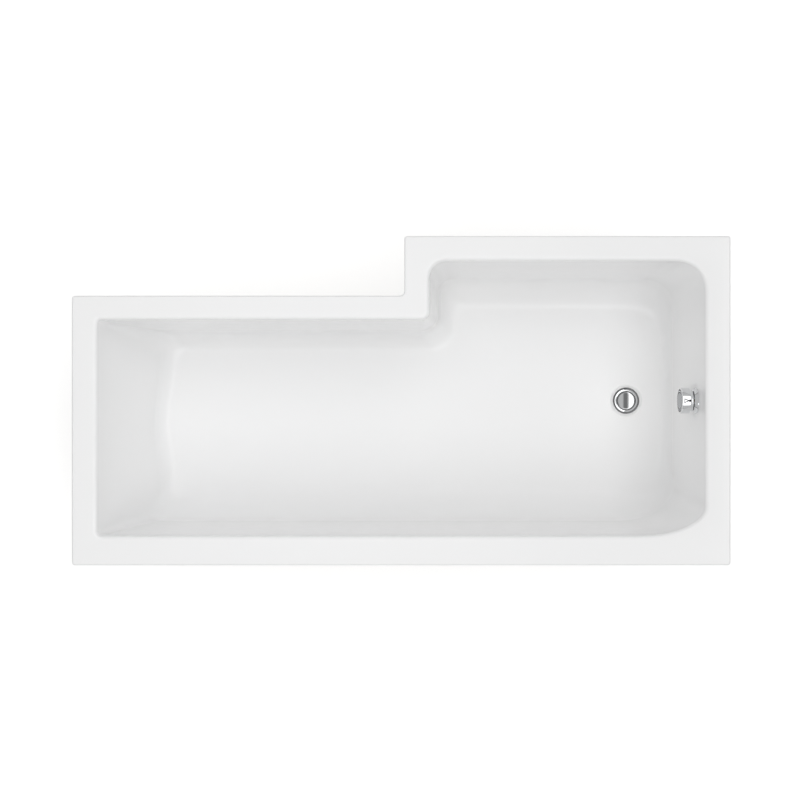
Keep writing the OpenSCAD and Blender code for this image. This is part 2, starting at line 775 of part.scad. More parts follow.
// The rocker's tip swings by equal angles above and below level
half_swing = asin(plug_lift / 2 / rocker_len);
tip_r = 3;
stem_end = throat_end - 8;
adjuster_end = stem_end - 8;
tip_z = adjuster_end - seat_gap - tip_r;
pivot_x = -rocker_len * cos(half_swing);
pivot_z = tip_z + plug_lift / 2;

module plug_stem() {
    color("silver") at_waste() translate([0, 0, stem_end]) cylinder(r = stem_r, h = -0.8 - stem_end);
}

module plug_adjuster() {
    color("silver") at_waste() translate([0, 0, adjuster_end]) {
        cylinder(r = stem_r - 0.2, h = 3);
        cylinder(r = stem_r - 1, h = stem_end - adjuster_end);
    }
}

cup_top = -shell_t - low_seal_t;
cup_low = pivot_z - 16;
port_z = pivot_z + 4;
shoulder_h = 6;
chamber_r = cup_r - body_wall;
tail_low = cup_low - shoulder_h - tail_len;
// The spindle's boss ends just outside the cup, so that the crank swings clear of it
boss_y = cup_r + 0.3;
crank_t = 4.5;
crank_y0 = boss_y + 1;
crank_y1 = crank_y0 + crank_t;
nipple_r = 1.9;
// The pull wire stays level while the crank's end swings through its arc
wire_y = crank_y1 + seat_gap + wire_r + 0.5;
wire_z = pivot_z - crank_len * (1 + cos(half_swing)) / 2;
wire_x0 = pivot_x - crank_len * sin(half_swing);
wire_pull = 2 * crank_len * sin(half_swing);
lug_x = pivot_x + 36;
lug_t = 5;
lug_w = 12;
gland_len = 14;
gland_r = sheath_r + 1.5;
gland_neck_r = wire_r + 1.7;

// Rocker spindle's boss on the wall of the cup
module spindle_at(y) {
    translate([pivot_x, y, pivot_z]) rotate([-90, 0, 0]) children();
}

module waste_body() {
    color("whitesmoke") at_waste() difference() {
        union() {
            rotate_extrude() polygon([
                [0, cup_top], [cup_r + 4, cup_top], [cup_r + 4, cup_top - 4], [cup_r, cup_top - 5],
                [cup_r, cup_low], [tail_r + 2, cup_low - shoulder_h], [tail_r, cup_low - shoulder_h],
                [tail_r, tail_low + 1], [tail_r - 1, tail_low], [0, tail_low]
            ]);
            translate([0, 0, port_z]) rotate([0, 90, 0]) cylinder(r = port_r, h = cup_r + port_len);
            spindle_at(0) cylinder(r = spindle_r + 3, h = boss_y);
            translate([lug_x, cup_r / 2, wire_z - lug_w / 2])
                cube([lug_t, wire_y + lug_w / 2 - cup_r / 2, lug_w]);
        }
        rotate_extrude() polygon([
            [0, cup_top + 1], [throat_r + run_gap, cup_top + 1],
            [throat_r + run_gap, throat_end - 1], [chamber_r, throat_end - 4],
            [chamber_r, cup_low + 2], [tail_r - 4, cup_low - shoulder_h + 2],
            [tail_r - 4, tail_low - 1], [0, tail_low - 1]
        ]);
        translate([0, 0, port_z]) rotate([0, 90, 0])
            cylinder(r = port_r - port_wall, h = cup_r + port_len + 1);
        spindle_at(0) cylinder(r = spindle_r + run_gap, h = boss_y + 1);
        translate([lug_x - 1, wire_y, wire_z]) rotate([0, 90, 0])
            cylinder(r = gland_neck_r + run_gap, h = lug_t + 2);
    }
}

module lift_rocker() {
    color("silver") at_waste() translate([pivot_x, 0, pivot_z]) rotate([0, half_swing, 0])
    difference() {
        rotate([90, 0, 0]) union() {
            translate([0, 0, -4]) cylinder(r = spindle_r + 2.5, h = 8);
            translate([0, -2, -3]) cube([rocker_len, 4, 6]);
            translate([rocker_len, 0, -4]) cylinder(r = tip_r, h = 8);
        }
        rotate([90, 0, 0]) translate([0, 0, -5]) cylinder(r = spindle_r + run_gap, h = 10);
    }
}

rocker_w = 8;

module rocker_spindle() {
    start = -rocker_w / 2 - 1;
    color("silver") at_waste() spindle_at(start)
        cylinder(r = spindle_r, h = crank_y1 + 0.5 - start);
}

module lift_crank() {
    color("silver") at_waste() translate([pivot_x, 0, pivot_z]) rotate([0, half_swing, 0])
    translate([0, crank_y0, 0]) rotate([-90, 0, 0]) difference() {
        union() {
            cylinder(r = spindle_r + 2.5, h = crank_t);
            translate([-2.5, 0, 0]) cube([5, crank_len, crank_t]);
            translate([0, crank_len, 0]) cylinder(r = nipple_r + 2.4, h = crank_t);
        }
        translate([0, 0, -1]) cylinder(r = spindle_r + run_gap, h = crank_t + 2);
        translate([0, crank_len, -1]) cylinder(r = nipple_r + 0.4, h = crank_t + 2);
    }
}

module pull_wire() {
    color("silver") at_waste() {
        translate([wire_x0, crank_y0, wire_z]) rotate([-90, 0, 0])
            cylinder(r = nipple_r, h = wire_y + wire_r + 0.5 - crank_y0);
        translate([wire_x0, wire_y, wire_z]) rotate([0, 90, 0])
            cylinder(r = wire_r, h = lug_x + 4 - wire_x0);
    }
}

// One end fitting of the cable: its neck passes through a lug, and the sheath meets its far end
module gland() {
    difference() {
        union() {
            translate([0, 0, -lug_t]) cylinder(r = gland_neck_r, h = lug_t + 1);
            cylinder(r = gland_r, h = gland_len);
        }
        translate([0, 0, -lug_t - 1]) cylinder(r = wire_r + run_gap, h = lug_t + gland_len + 2);
    }
}

// ---- Overflow: heights are from the land on the wall ----
face_hub_r = 8;
knob_low = face_h + slot_h;
drum_low = knob_low + neck_len;
knob_top = drum_low + drum_len;
knob_in_r = neck_r - 3.5;
knob_hub_r = 8;
screw_ring = 18;

module overflow_face() {
    color("gainsboro") at_overflow() difference() {
        union() {
            rotate_extrude() polygon([
                [face_r - 1, 0], [face_r, 1], [face_r - 0.6, 2.5], [face_front_r + 2, face_h - 2.5],
                [face_front_r + 0.6, face_h - 0.6], [face_front_r - 0.6, face_h],
                [face_front_r - 4, face_h], [face_front_r - 4, 0]
            ]);
            cylinder(r = face_hub_r, h = 6);
            for (a = [0, 90]) rotate(a)
                translate([-face_front_r + 3, -3, 0]) cube([2 * face_front_r - 6, 6, 4]);
            for (s = [-1, 1]) translate([0, s * screw_ring, 0]) cylinder(r = 5.5, h = 4);
        }
        translate([0, 0, -1]) cylinder(r = shaft_r + run_gap, h = 10);
        for (s = [-1, 1]) translate([0, s * screw_ring, -1]) cylinder(r = screw_r + seat_gap, h = 8);
    }
}

mark_z = drum_low + 5;
mark_len = 15;
mark_w = 13;

module overflow_knob() {
    color("gainsboro") at_overflow() difference() {
        rotate_extrude() polygon([
            [0, knob_top], [knob_r - 5, knob_top - 0.4], [knob_r - 1.6, knob_top - 1.4],
            [knob_r, knob_top - 3.2], [knob_r, drum_low + 1.6], [knob_r - 1.2, drum_low],
            [neck_r + 1, drum_low - 0.6], [neck_r, drum_low - 1.6], [neck_r, knob_low],
            [knob_in_r, knob_low], [knob_in_r, knob_top - 6], [knob_hub_r, knob_top - 6],
            [knob_hub_r, drum_low - 2], [0, drum_low - 2]
        ]);
        translate([0, 0, -1]) cylinder(r = shaft_r + run_gap, h = knob_top - 7);
        translate([0, 0, mark_z]) rotate([0, 90, 0]) cylinder(r = 2 + run_gap, h = knob_r + 2);
        translate([knob_r - 1.4, 0, 0]) rotate([0, 90, 0]) linear_extrude(5)
            polygon([[-mark_z, 0], [-mark_z - mark_len, mark_w / 2], [-mark_z - mark_len, -mark_w / 2]]);
    }
}

module knob_grub_screw() {
    color("dimgray") at_overflow() translate([shaft_r + run_gap, 0, mark_z])
        rotate([0, 90, 0]) cylinder(r = 2, h = knob_hub_r - shaft_r);
}

gasket_low = -shell_t - gasket_t;
house_back = gasket_low - house_len;
// How far the screw bosses and the shaft's boss stand out of the housing's back
back_boss_h = 2.5;
shaft_low = house_back + 5;
cam_r = 11;

module knob_shaft() {
    color("silver") at_overflow() translate([0, 0, shaft_low])
        cylinder(r = shaft_r, h = knob_top - 10 - shaft_low);
}

module cable_cam() {
    color("whitesmoke") at_overflow() translate([0, 0, shaft_low + 7]) difference() {
        union() {
            cylinder(r = shaft_r + 3, h = 9);
            cylinder(r = cam_r, h = 3);
            translate([0, 0, 6]) cylinder(r = cam_r, h = 3);
        }
        translate([0, 0, -1]) cylinder(r = shaft_r + run_gap, h = 11);
    }
}

module face_screws() {
    color("silver") at_overflow() for (s = [-1, 1]) translate([0, s * screw_ring, 0]) {
        translate([0, 0, 4]) cylinder(r = screw_r * 1.8, h = 2.5);
        translate([0, 0, house_back + 8]) cylinder(r = screw_r, h = 5 - house_back - 8);
    }
}

module overflow_gasket() {
    color("dimgray") at_overflow() translate([0, 0, gasket_low])
        ring_solid(house_flange_r, over_hole_r, gasket_t);
}

// The housing's hose port and its cable lug hang straight down, clear of the tub wall
top_port_x = over_x + 30;
house_flange_r = house_r + 4;
top_port_z = over_z - house_flange_r - port_len;
cable_x = over_x + 25;
cable_y = waste_y + wire_y;
top_lug_z = over_z - 14;
port_bore_r = port_r - port_wall;

module overflow_housing() {
    color("whitesmoke") difference() {
        union() {
            at_overflow() translate([0, 0, house_back]) {
                cylinder(r = house_r, h = house_len);
                translate([0, 0, house_len - 4]) cylinder(r = house_flange_r, h = 4);
                translate([0, 0, -back_boss_h]) {
                    cylinder(r = shaft_r + 5, h = back_boss_h + 1);
                    for (s = [-1, 1]) translate([0, s * screw_ring, 0])
                        cylinder(r = screw_r + 3, h = back_boss_h + 1);
                }
            }
            translate([top_port_x, waste_y, top_port_z])
                cylinder(r = port_r, h = over_z - top_port_z);
            translate([cable_x - lug_w / 2, waste_y + house_r / 2, top_lug_z])
                cube([lug_w, wire_y + lug_w / 2 - house_r / 2, lug_t]);
        }
        difference() {
            at_overflow() translate([0, 0, house_back + 3.5])
                cylinder(r = house_r - body_wall, h = house_len);
            at_overflow() for (s = [-1, 1]) translate([0, s * screw_ring, house_back])
                cylinder(r = screw_r + 3, h = house_len - 6);
            at_overflow() translate([0, 0, house_back]) cylinder(r = shaft_r + 3, h = 10);
        }
        at_overflow() translate([0, 0, house_back + 4.5]) cylinder(r = shaft_r + run_gap, h = house_len);
        at_overflow() for (s = [-1, 1]) translate([0, s * screw_ring, house_back + 7])
            cylinder(r = screw_r + run_gap, h = house_len);
        translate([top_port_x, waste_y, top_port_z - 1])
            cylinder(r = port_bore_r, h = over_z - top_port_z - 8);
        translate([cable_x, cable_y, top_lug_z - 1]) cylinder(r = gland_neck_r + run_gap, h = lug_t + 2);
    }
}

// ---- Hose and cable: level out of the waste body, round one bend, and straight up ----
// Point and heading at distance s along a run from [x0, z0] that bends up to x1
function run_at(s, x0, z0, x1, r) =
    let(level = x1 - r - x0, turn = r * PI / 2)
    s < level ? [x0 + s, z0, 0]
    : s < level + turn ? let(a = (s - level) / turn * 90) [x1 - r + r * sin(a), z0 + r - r * cos(a), a]
    : [x1, z0 + r + s - level - turn, 90];
function run_length(x0, z0, x1, z1, r) = x1 - r - x0 + r * PI / 2 + z1 - z0 - r;
SIDES = 8;
function tube_ring(at, y, r) = [
    for (k = [0:SIDES - 1])
        let(a = 360 * (k + 0.5) / SIDES)
        [at[0] - r * cos(a) * sin(at[2]), y + r * sin(a), at[1] + r * cos(a) * cos(at[2])]
];

// Skin of a tube between rings of points
function skin_faces(n, first, flip) = [
    for (k = [0:n - 2]) for (j = [0:SIDES - 1])
        let(a = first + k * SIDES + j, b = first + k * SIDES + (j + 1) % SIDES)
        each flip
            ? [[a, b, b + SIDES], [a, b + SIDES, a + SIDES]]
            : [[a, b + SIDES, b], [a, a + SIDES, b + SIDES]]
];

hose_in = 12;
hose_plain = hose_in + 9;
hose_x0 = waste_x + cup_r + port_len - hose_in;
hose_z0 = seat_z + port_z;
hose_z1 = top_port_z + hose_in;
hose_end_r = port_bore_r - seat_gap;
hose_length = run_length(hose_x0, hose_z0, top_port_x, hose_z1, hose_bend_r);
n_ribs = floor((hose_length - 2 * hose_plain) / rib_pitch);
rib_start = (hose_length - n_ribs * rib_pitch) / 2;
// Distance along the hose and radius of each outer ring: plain end, ribs, plain end
HOSE_RINGS = concat(
    [[0, hose_end_r], [rib_start - 1, hose_end_r]],
    [for (k = [0:n_ribs - 1])
        each [[rib_start + (k + 0.25) * rib_pitch, hose_r],
              [rib_start + (k + 0.75) * rib_pitch, hose_r - rib_h]]],
    [[hose_length - rib_start + 1, hose_end_r], [hose_length, hose_end_r]]
);
bore_steps = 40;

module overflow_hose() {
    bore_r = hose_r - rib_h - hose_wall;
    outer = [
        for (h = HOSE_RINGS)
            each tube_ring(run_at(h[0], hose_x0, hose_z0, top_port_x, hose_bend_r), waste_y, h[1])
    ];
    inner = [
        for (k = [0:bore_steps])
            each tube_ring(
                run_at(hose_length * k / bore_steps, hose_x0, hose_z0, top_port_x, hose_bend_r),
                waste_y, bore_r
            )
    ];
    n_out = len(HOSE_RINGS);
    n_in = bore_steps + 1;
    first_in = n_out * SIDES;
    last_out = first_in - SIDES;
    last_in = first_in + (n_in - 1) * SIDES;
    ends = [
        for (j = [0:SIDES - 1])
            let(b = (j + 1) % SIDES)
            each [
                [j, b, first_in + b], [j, first_in + b, first_in + j],
                [last_out + j, last_in + b, last_out + b], [last_out + j, last_in + j, last_in + b]
            ]
    ];
    color("whitesmoke") polyhedron(
        points = concat(outer, inner),
        faces = concat(skin_faces(n_out, 0, false), skin_faces(n_in, first_in, true), ends),
        convexity = 10
    );
}

nut_over = 12;
nut_lip = 6;
nut_r = port_r + 4.2;
grip_r = 1.3;
n_grips = 16;

module hose_nut() {
    difference() {
        union() {
            cylinder(r = nut_r, h = nut_over + nut_lip);
            for (k = [1:n_grips]) rotate(360 * k / n_grips) translate([nut_r, 0, 1.5])
                cylinder(r = grip_r, h = nut_over + nut_lip - 3);
        }
        translate([0, 0, nut_lip]) cylinder(r = port_r + run_gap, h = nut_over + 1);
        translate([0, 0, -1]) cylinder(r = hose_end_r + seat_gap, h = nut_lip + 2);
    }
}

module hose_nut_low() {
    color("whitesmoke") translate([hose_x0 + hose_in + nut_lip, waste_y, hose_z0])
        rotate([0, -90, 0]) hose_nut();
}

module hose_nut_top() {
    color("whitesmoke") translate([top_port_x, waste_y, top_port_z - nut_lip]) hose_nut();
}

sheath_bend_r = hose_bend_r + 18;
sheath_x0 = waste_x + lug_x + lug_t + gland_len;
sheath_z0 = seat_z + wire_z;
sheath_z1 = top_lug_z - gland_len;
sheath_length = run_length(sheath_x0, sheath_z0, cable_x, sheath_z1, sheath_bend_r);
sheath_steps = 28;

module cable_sheath() {
    rings = [
        for (k = [0:sheath_steps])
            each tube_ring(
                run_at(sheath_length * k / sheath_steps, sheath_x0, sheath_z0, cable_x, sheath_bend_r),
                cable_y, sheath_r
            )
    ];
    last = sheath_steps * SIDES;
    color("dimgray") polyhedron(
        points = rings,
        faces = concat(
            skin_faces(sheath_steps + 1, 0, false),
            [[for (j = [0:SIDES - 1]) j]],
            [[for (j = [0:SIDES - 1]) last + SIDES - 1 - j]]
        ),
        convexity = 6
    );
}

module cable_glands() {
    color("dimgray") {
        translate([waste_x + lug_x + lug_t, cable_y, sheath_z0]) rotate([0, 90, 0]) gland();
        translate([cable_x, cable_y, top_lug_z]) rotate([180, 0, 0]) gland();
    }
}

bath_shell();
base_board();
batten_front();
batten_waste_end();
batten_wide_side();
batten_step();
batten_narrow_side();
batten_head_end();
bar_head();
bar_middle();
bar_waste();
bar_end_plugs();
board_screws();
weld_nuts();
lock_nuts();
foot_stud_1();
foot_stud_2();
foot_stud_3();
foot_stud_4();
foot_stud_5();
foot_stud_6();
foot_pad_1();
foot_pad_2();
foot_pad_3();
foot_pad_4();
foot_pad_5();
foot_pad_6();
waste_flange();
waste_top_seal();
waste_low_seal();
waste_body();
plug_cap();
plug_seal();
plug_stem();
plug_adjuster();
lift_rocker();
rocker_spindle();
lift_crank();
pull_wire();
cable_sheath();
cable_glands();
overflow_face();
overflow_knob();
knob_grub_screw();
knob_shaft();
cable_cam();
face_screws();
overflow_gasket();
overflow_housing();
overflow_hose();
hose_nut_low();
hose_nut_top();
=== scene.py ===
import json
from math import atan, ceil, cos, degrees, pi, radians, sin, sqrt

import bmesh
import bpy
from mathutils import Matrix, Vector

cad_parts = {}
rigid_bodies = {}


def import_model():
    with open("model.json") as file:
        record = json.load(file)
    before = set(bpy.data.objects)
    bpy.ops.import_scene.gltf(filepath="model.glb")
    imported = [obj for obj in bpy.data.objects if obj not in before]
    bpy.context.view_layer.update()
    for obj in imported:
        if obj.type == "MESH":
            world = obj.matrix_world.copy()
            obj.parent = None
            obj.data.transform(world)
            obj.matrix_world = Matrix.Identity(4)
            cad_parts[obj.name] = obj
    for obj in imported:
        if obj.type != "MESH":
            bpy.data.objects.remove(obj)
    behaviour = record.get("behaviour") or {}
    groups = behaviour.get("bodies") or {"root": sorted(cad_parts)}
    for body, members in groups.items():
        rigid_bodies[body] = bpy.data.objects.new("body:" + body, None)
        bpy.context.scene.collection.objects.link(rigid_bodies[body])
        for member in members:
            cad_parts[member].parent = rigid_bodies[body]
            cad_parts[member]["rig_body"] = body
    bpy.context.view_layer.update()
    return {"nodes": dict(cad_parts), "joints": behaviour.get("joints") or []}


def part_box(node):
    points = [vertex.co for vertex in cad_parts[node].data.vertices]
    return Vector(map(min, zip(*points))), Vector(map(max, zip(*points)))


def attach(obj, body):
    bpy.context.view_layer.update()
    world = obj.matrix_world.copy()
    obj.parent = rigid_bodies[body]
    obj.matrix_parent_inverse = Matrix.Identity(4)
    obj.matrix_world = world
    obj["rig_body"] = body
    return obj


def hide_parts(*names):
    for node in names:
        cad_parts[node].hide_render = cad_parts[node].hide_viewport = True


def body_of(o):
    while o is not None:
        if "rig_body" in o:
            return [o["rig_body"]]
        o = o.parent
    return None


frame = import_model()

# ---- Studio ----
# The camera hangs straight above the middle of the bath, 6 m over its rim, as in the photograph.
# The floor is plain white and shows as white to the camera, and it keeps a soft shadow.
rim_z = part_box("bath_shell")[1].z
camera_up = 6.0
view_width = 2.063
camera_aim = (-0.0031, 0.0018)
camera = bpy.data.objects.new("camera", bpy.data.cameras.new("camera"))
bpy.context.scene.collection.objects.link(camera)
bpy.context.scene.camera = camera
camera.data.sensor_width = 36.0
camera.data.lens = camera.data.sensor_width * camera_up / view_width
camera.location = (*camera_aim, rim_z + camera_up)
camera.data.clip_end = 200.0
bpy.context.scene.view_settings.view_transform = "Standard"


class Value:
    """A socket of a node tree. Arithmetic on it adds Math nodes."""

    def __init__(self, shading, socket):
        self.shading, self.socket = shading, socket

    def math(self, operation, *terms):
        return self.shading.node("ShaderNodeMath", {"operation": operation}, dict(enumerate(terms)))

    def __add__(self, other):
        return self.math("ADD", self, other)

    __radd__ = __add__

    def __mul__(self, other):
        return self.math("MULTIPLY", self, other)

    __rmul__ = __mul__

    def __sub__(self, other):
        return self.math("SUBTRACT", self, other)

    def __rsub__(self, other):
        return self.math("SUBTRACT", other, self)

    def __truediv__(self, other):
        return self.math("DIVIDE", self, other)

    def __pow__(self, power):
        return self.math("POWER", self, power)

    def __abs__(self):
        return self.math("ABSOLUTE", self)

    def larger(self, other):
        return self.math("MAXIMUM", self, other)

    def rise(self, low, high):
        """0 below low, 1 above high, and a soft step between."""
        return self.shading.node(
            "ShaderNodeMapRange",
            {"interpolation_type": "SMOOTHSTEP"},
            {"Value": self, "From Min": low, "From Max": high},
        )


class Shading:
    """A node tree: node() adds any node from its type, its settings and what its sockets take."""

    def __init__(self, tree):
        self.tree = tree

    def node(self, kind, settings, inputs, out=0):
        made = self.tree.nodes.new(kind)
        for key, value in settings.items():
            setattr(made, key, value)
        for socket, value in inputs.items():
            self.feed(made.inputs[socket], value)
        return Value(self, made.outputs[out])

    def feed(self, socket, value):
        if isinstance(value, Value):
            self.tree.links.new(value.socket, socket)
        else:
            socket.default_value = value


class Finish(Shading):
    """A material: its constant sockets are given by name, and shown() links what varies."""

    def __init__(self, name, **constant):
        self.material = bpy.data.materials.new(name)
        self.material.use_nodes = True
        super().__init__(self.material.node_tree)
        self.shader = self.tree.nodes["Principled BSDF"]
        self.shown(**constant)
        self.place = self.node("ShaderNodeTexCoord", {}, {}, "Object")

    def shown(self, **sockets):
        for socket, value in sockets.items():
            self.feed(self.shader.inputs[socket.replace("_", " ")], value)

    def stretched(self, scale, turn=(0.0, 0.0, 0.0)):
        """Object coordinates, turned first and then stretched, so that a grain can lie any way."""
        turned_place = self.node("ShaderNodeMapping", {}, {"Vector": self.place, "Rotation": turn})
        return self.node("ShaderNodeMapping", {}, {"Vector": turned_place, "Scale": scale})

    def noise(self, scale, detail=2.0, place=None):
        inputs = {"Vector": place or self.place, "Scale": scale, "Detail": detail}
        return self.node("ShaderNodeTexNoise", {}, inputs, "Fac")

    def cells(self, scale, place=None):
        """A random number for each small cell, as chips or crystals have."""
        inputs = {"Vector": place or self.place, "Scale": scale}
        colour = self.node("ShaderNodeTexVoronoi", {}, inputs, "Color")
        return self.node("ShaderNodeSeparateColor", {}, {0: colour})

    def blend(self, share, low, high):
        inputs = {0: share}
        for socket, colour in ((6, low), (7, high)):
            inputs[socket] = colour if isinstance(colour, Value) else (*colour, 1.0)
        return self.node("ShaderNodeMix", {"data_type": "RGBA"}, inputs, 2)

    def bump(self, height, distance):
        self.shown(Normal=self.node("ShaderNodeBump", {}, {"Height": height, "Distance": distance}))


def into_scene(name, bm, *finishes, sharp=35.0):
    """Turns a finished bmesh into an object at the origin, smooth up to the given angle."""
    mesh = bpy.data.meshes.new(name)
    bm.to_mesh(mesh)
    bm.free()
    mesh.shade_smooth()
    mesh.set_sharp_from_angle(angle=radians(sharp))
    for finish in finishes:
        mesh.materials.append(finish.material)
    piece = bpy.data.objects.new(name, mesh)
    bpy.context.scene.collection.objects.link(piece)
    return piece


floor_size = 160.0
floor_glow = 0.62
floor_mesh = bmesh.new()
bmesh.ops.create_grid(floor_mesh, x_segments=1, y_segments=1, size=floor_size / 2)
floor_paint = Finish(
    "studio_floor", Base_Color=(0.62, 0.62, 0.62, 1.0), Roughness=0.9, Specular_IOR_Level=0.0
)


def seeing_rays(shading):
    """1 for the camera's rays, and 1 for those by which metal and glass see the background."""
    rays = ("Is Camera Ray", "Is Glossy Ray", "Is Transmission Ray")
    camera_ray, glossy_ray, glass_ray = [
        shading.node("ShaderNodeLightPath", {}, {}, ray) for ray in rays
    ]
    return camera_ray, glossy_ray.larger(glass_ray)


camera_ray, mirror_ray = seeing_rays(floor_paint)
floor_paint.shown(
    Emission_Color=(1.0, 1.0, 1.0, 1.0),
    Emission_Strength=floor_glow * camera_ray.larger(mirror_ray),
)
studio_floor = into_scene("studio_floor", floor_mesh, floor_paint)

# The room is light all round, with a soft window to the right and a small dark patch of ceiling
# over the waste, which the chrome shows. A slope is how far sideways a ray goes as it rises by 1.
upper_light, horizon_light, window_light = 0.54, 0.22, 1.2
ceiling_shade = 0.65
lowest_rise = 0.03
world = bpy.data.worlds.new("studio")
bpy.context.scene.world = world
world.use_nodes = True
room = Shading(world.node_tree)
heading = room.node("ShaderNodeTexCoord", {}, {}, "Generated")
east, north, up = [room.node("ShaderNodeSeparateXYZ", {}, {0: heading}, axis) for axis in range(3)]
rising = up.larger(lowest_rise)
slope_x = east / rising
slope_y = abs(north / rising)
above = up.rise(0.0, 0.05)


def patch(left, right, far):
    """1 in a rectangle overhead: its left, right and far edges each fade between two slopes."""
    return slope_x.rise(*left) * (1 - slope_x.rise(*right)) * (1 - slope_y.rise(*far)) * above


window = patch((0.145, 0.165), (0.48, 0.62), (0.85, 1.0))
ceiling = patch((0.02, 0.06), (0.12, 0.135), (0.17, 0.22))
upper = up.rise(0.0, 0.45) * (1 - ceiling_shade * ceiling)
horizon = 1 - up.rise(0.0, 0.5)
brightness = upper_light * upper + horizon_light * horizon + window_light * window
# A white backdrop stands behind the floor's far edge
camera_ray, mirror_ray = seeing_rays(room)
backdrop = camera_ray.larger(mirror_ray * (1 - up.rise(0.04, 0.16)))
background = world.node_tree.nodes["Background"]
room.feed(background.inputs["Strength"], brightness * (1 - backdrop) + backdrop)
room.feed(background.inputs["Color"], (1.0, 1.0, 1.0, 1.0))


def lamp_panel(name, middle, size, aim, radiance, in_chrome=True):
    """A square softbox: its watts follow from how bright its face is."""
    lamp = bpy.data.lights.new(name, "AREA")
    lamp.shape = "RECTANGLE"
    lamp.size, lamp.size_y = size
    lamp.energy = radiance * pi * size[0] * size[1]
    panel = bpy.data.objects.new(name, lamp)
    bpy.context.scene.collection.objects.link(panel)
    panel.location = middle
    panel.rotation_mode = "QUATERNION"
    panel.rotation_quaternion = (Vector(aim) - Vector(middle)).to_track_quat("-Z", "Y")
    panel.visible_glossy = in_chrome


lamp_panel("front_panel", (0.0, -2.1, 4.2), (3.0, 1.4), (0.0, -0.6, 0.4), 1.3)
lamp_panel("top_panel", (-0.15, 0.0, 3.0), (1.2, 1.2), (-0.1, 0.0, 0.4), 2.07, in_chrome=False)
lamp_panel("back_panel", (-0.2, 1.6, 3.6), (2.0, 1.0), (0.0, -0.2, 0.2), 1.45, in_chrome=False)


# ---- Tub shell ----
# The tub is one acrylic sheet, drawn hot over an L-shaped mould and backed with glass fibre.
# It is drawn here ring by ring, from the lip's lower edge over the rim and down the walls.
acrylic = Finish("white_acrylic", IOR=1.49)
acrylic.shown(
    Base_Color=acrylic.blend(acrylic.noise(2.5, 1.0), (0.915, 0.917, 0.92), (0.932, 0.932, 0.93)),
    Roughness=0.15 + 0.05 * acrylic.noise(40.0, 3.0),
)
acrylic.bump(acrylic.noise(260.0, 2.0) + 6.0 * acrylic.noise(9.0, 1.0), 0.00003)

# The backing is chopped strand and resin, sprayed on and rolled down: pale, lumpy and half glossy
glass_fibre = Finish("glass_fibre_backing", IOR=1.52)
# Two lays of strands for each pair of sides: upright along X, upright along Y, and level
strand_turns = (
    (0.0, 0.35, pi / 2), (0.0, 1.9, pi / 2), (0.6, 0.0, 0.0),
    (2.2, 0.0, 0.0), (0.0, 0.0, 0.8), (0.0, 0.0, 2.4),
)
strands = None
for turn in strand_turns:
    lay = glass_fibre.stretched((260.0, 17.0, 260.0), turn)
    strand = glass_fibre.noise(1.0, 1.0, lay).rise(0.60, 0.68)
    strands = strand if strands is None else strands.larger(strand)
resin = glass_fibre.noise(5.0, 5.0)
lumps = glass_fibre.noise(45.0, 3.0)
backing_tone = glass_fibre.blend(resin.rise(0.3, 0.7), (0.76, 0.74, 0.66), (0.86, 0.85, 0.80))
glass_fibre.shown(
    Base_Color=glass_fibre.blend(0.45 * strands, backing_tone, (0.95, 0.95, 0.93)),
    Roughness=0.28 + 0.3 * lumps,
)
glass_fibre.bump(0.35 * strands + 1.2 * lumps + 3.0 * resin, 0.0012)

shell_low, shell_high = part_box("bath_shell")
FRONT, WASTE, WIDE, STEP, NARROW, HEAD = range(6)
narrow_width = 0.696
wide_length = 0.842
tub_depth = 0.395
floor_fall = 0.008
sheet_t = 0.006
lip_t = 0.004
lip_h = 0.035
edge_r = 0.0055
roll_r = 0.012
lip_corner, lip_inner_corner = 0.008, 0.012
tightest_corner = 0.004
rim_width = (0.065, 0.053, 0.053, 0.053, 0.051, 0.054)
lean = (0.030, 0.048, 0.040, 0.034, 0.026, 0.139)
lean_shape = (0.0, 0.5, 0.0, 0.2, 0.0, -0.35)
sweep = (0.095, 0.024, 0.080, 0.045, 0.050, 0.030)
rise = (0.100, 0.060, 0.100, 0.060, 0.100, 0.028)
head_bow = 0.019
# Each corner's two radii at the rim and at the floor, and how square it is
rim_corners = (
    (0.012, 0.012), (0.170, 0.076), (0.088, 0.088),
    (0.044, 0.044), (0.022, 0.022), (0.008, 0.008),
)
floor_corners = (
    (0.05, 0.05), (0.15, 0.12), (0.115, 0.115),
    (0.042, 0.042), (0.058, 0.058), (0.05, 0.05),
)
squareness = (2.0, 2.0, 2.5, 2.0, 2.0, 2.0)
arc_start = (180, 270, 0, 90, 0, 90)
arc_turn = (90, 90, 90, 90, -90, 90)
to_centre = ((1, 1), (-1, 1), (-1, -1), (1, -1), (-1, 1), (1, -1))
inner_corner = STEP + 1
arc_steps = (12, 26, 24, 18, 18, 12)
side_steps = (64, 76, 30, 12, 42, 44)
step_x = shell_high.x - wide_length
narrow_y = shell_low.y + narrow_width


def side_line(side, inset):
    edges = (shell_low.y, shell_high.x, shell_high.y, step_x, narrow_y, shell_low.x)
    return edges[side] + (inset if side in (FRONT, STEP, HEAD) else -inset)


def corner_arc(corner, inset, radii):
    across = (HEAD, WASTE, WASTE, STEP, STEP, HEAD)[corner]
    along = (FRONT, FRONT, WIDE, WIDE, NARROW, NARROW)[corner]
    point = Vector((side_line(across, inset[across]), side_line(along, inset[along])))
    power = 2 / squareness[corner]
    centre = to_centre[corner]
    arc = []
    for k in range(arc_steps[corner] + 1):
        turn = radians(arc_start[corner] + arc_turn[corner] * k / arc_steps[corner])
        bent = [(1 if part > 0 else -1) * abs(part) ** power for part in (cos(turn), sin(turn))]
        arc.append(point + Vector([radii[corner][i] * (centre[i] + bent[i]) for i in (0, 1)]))
    return arc


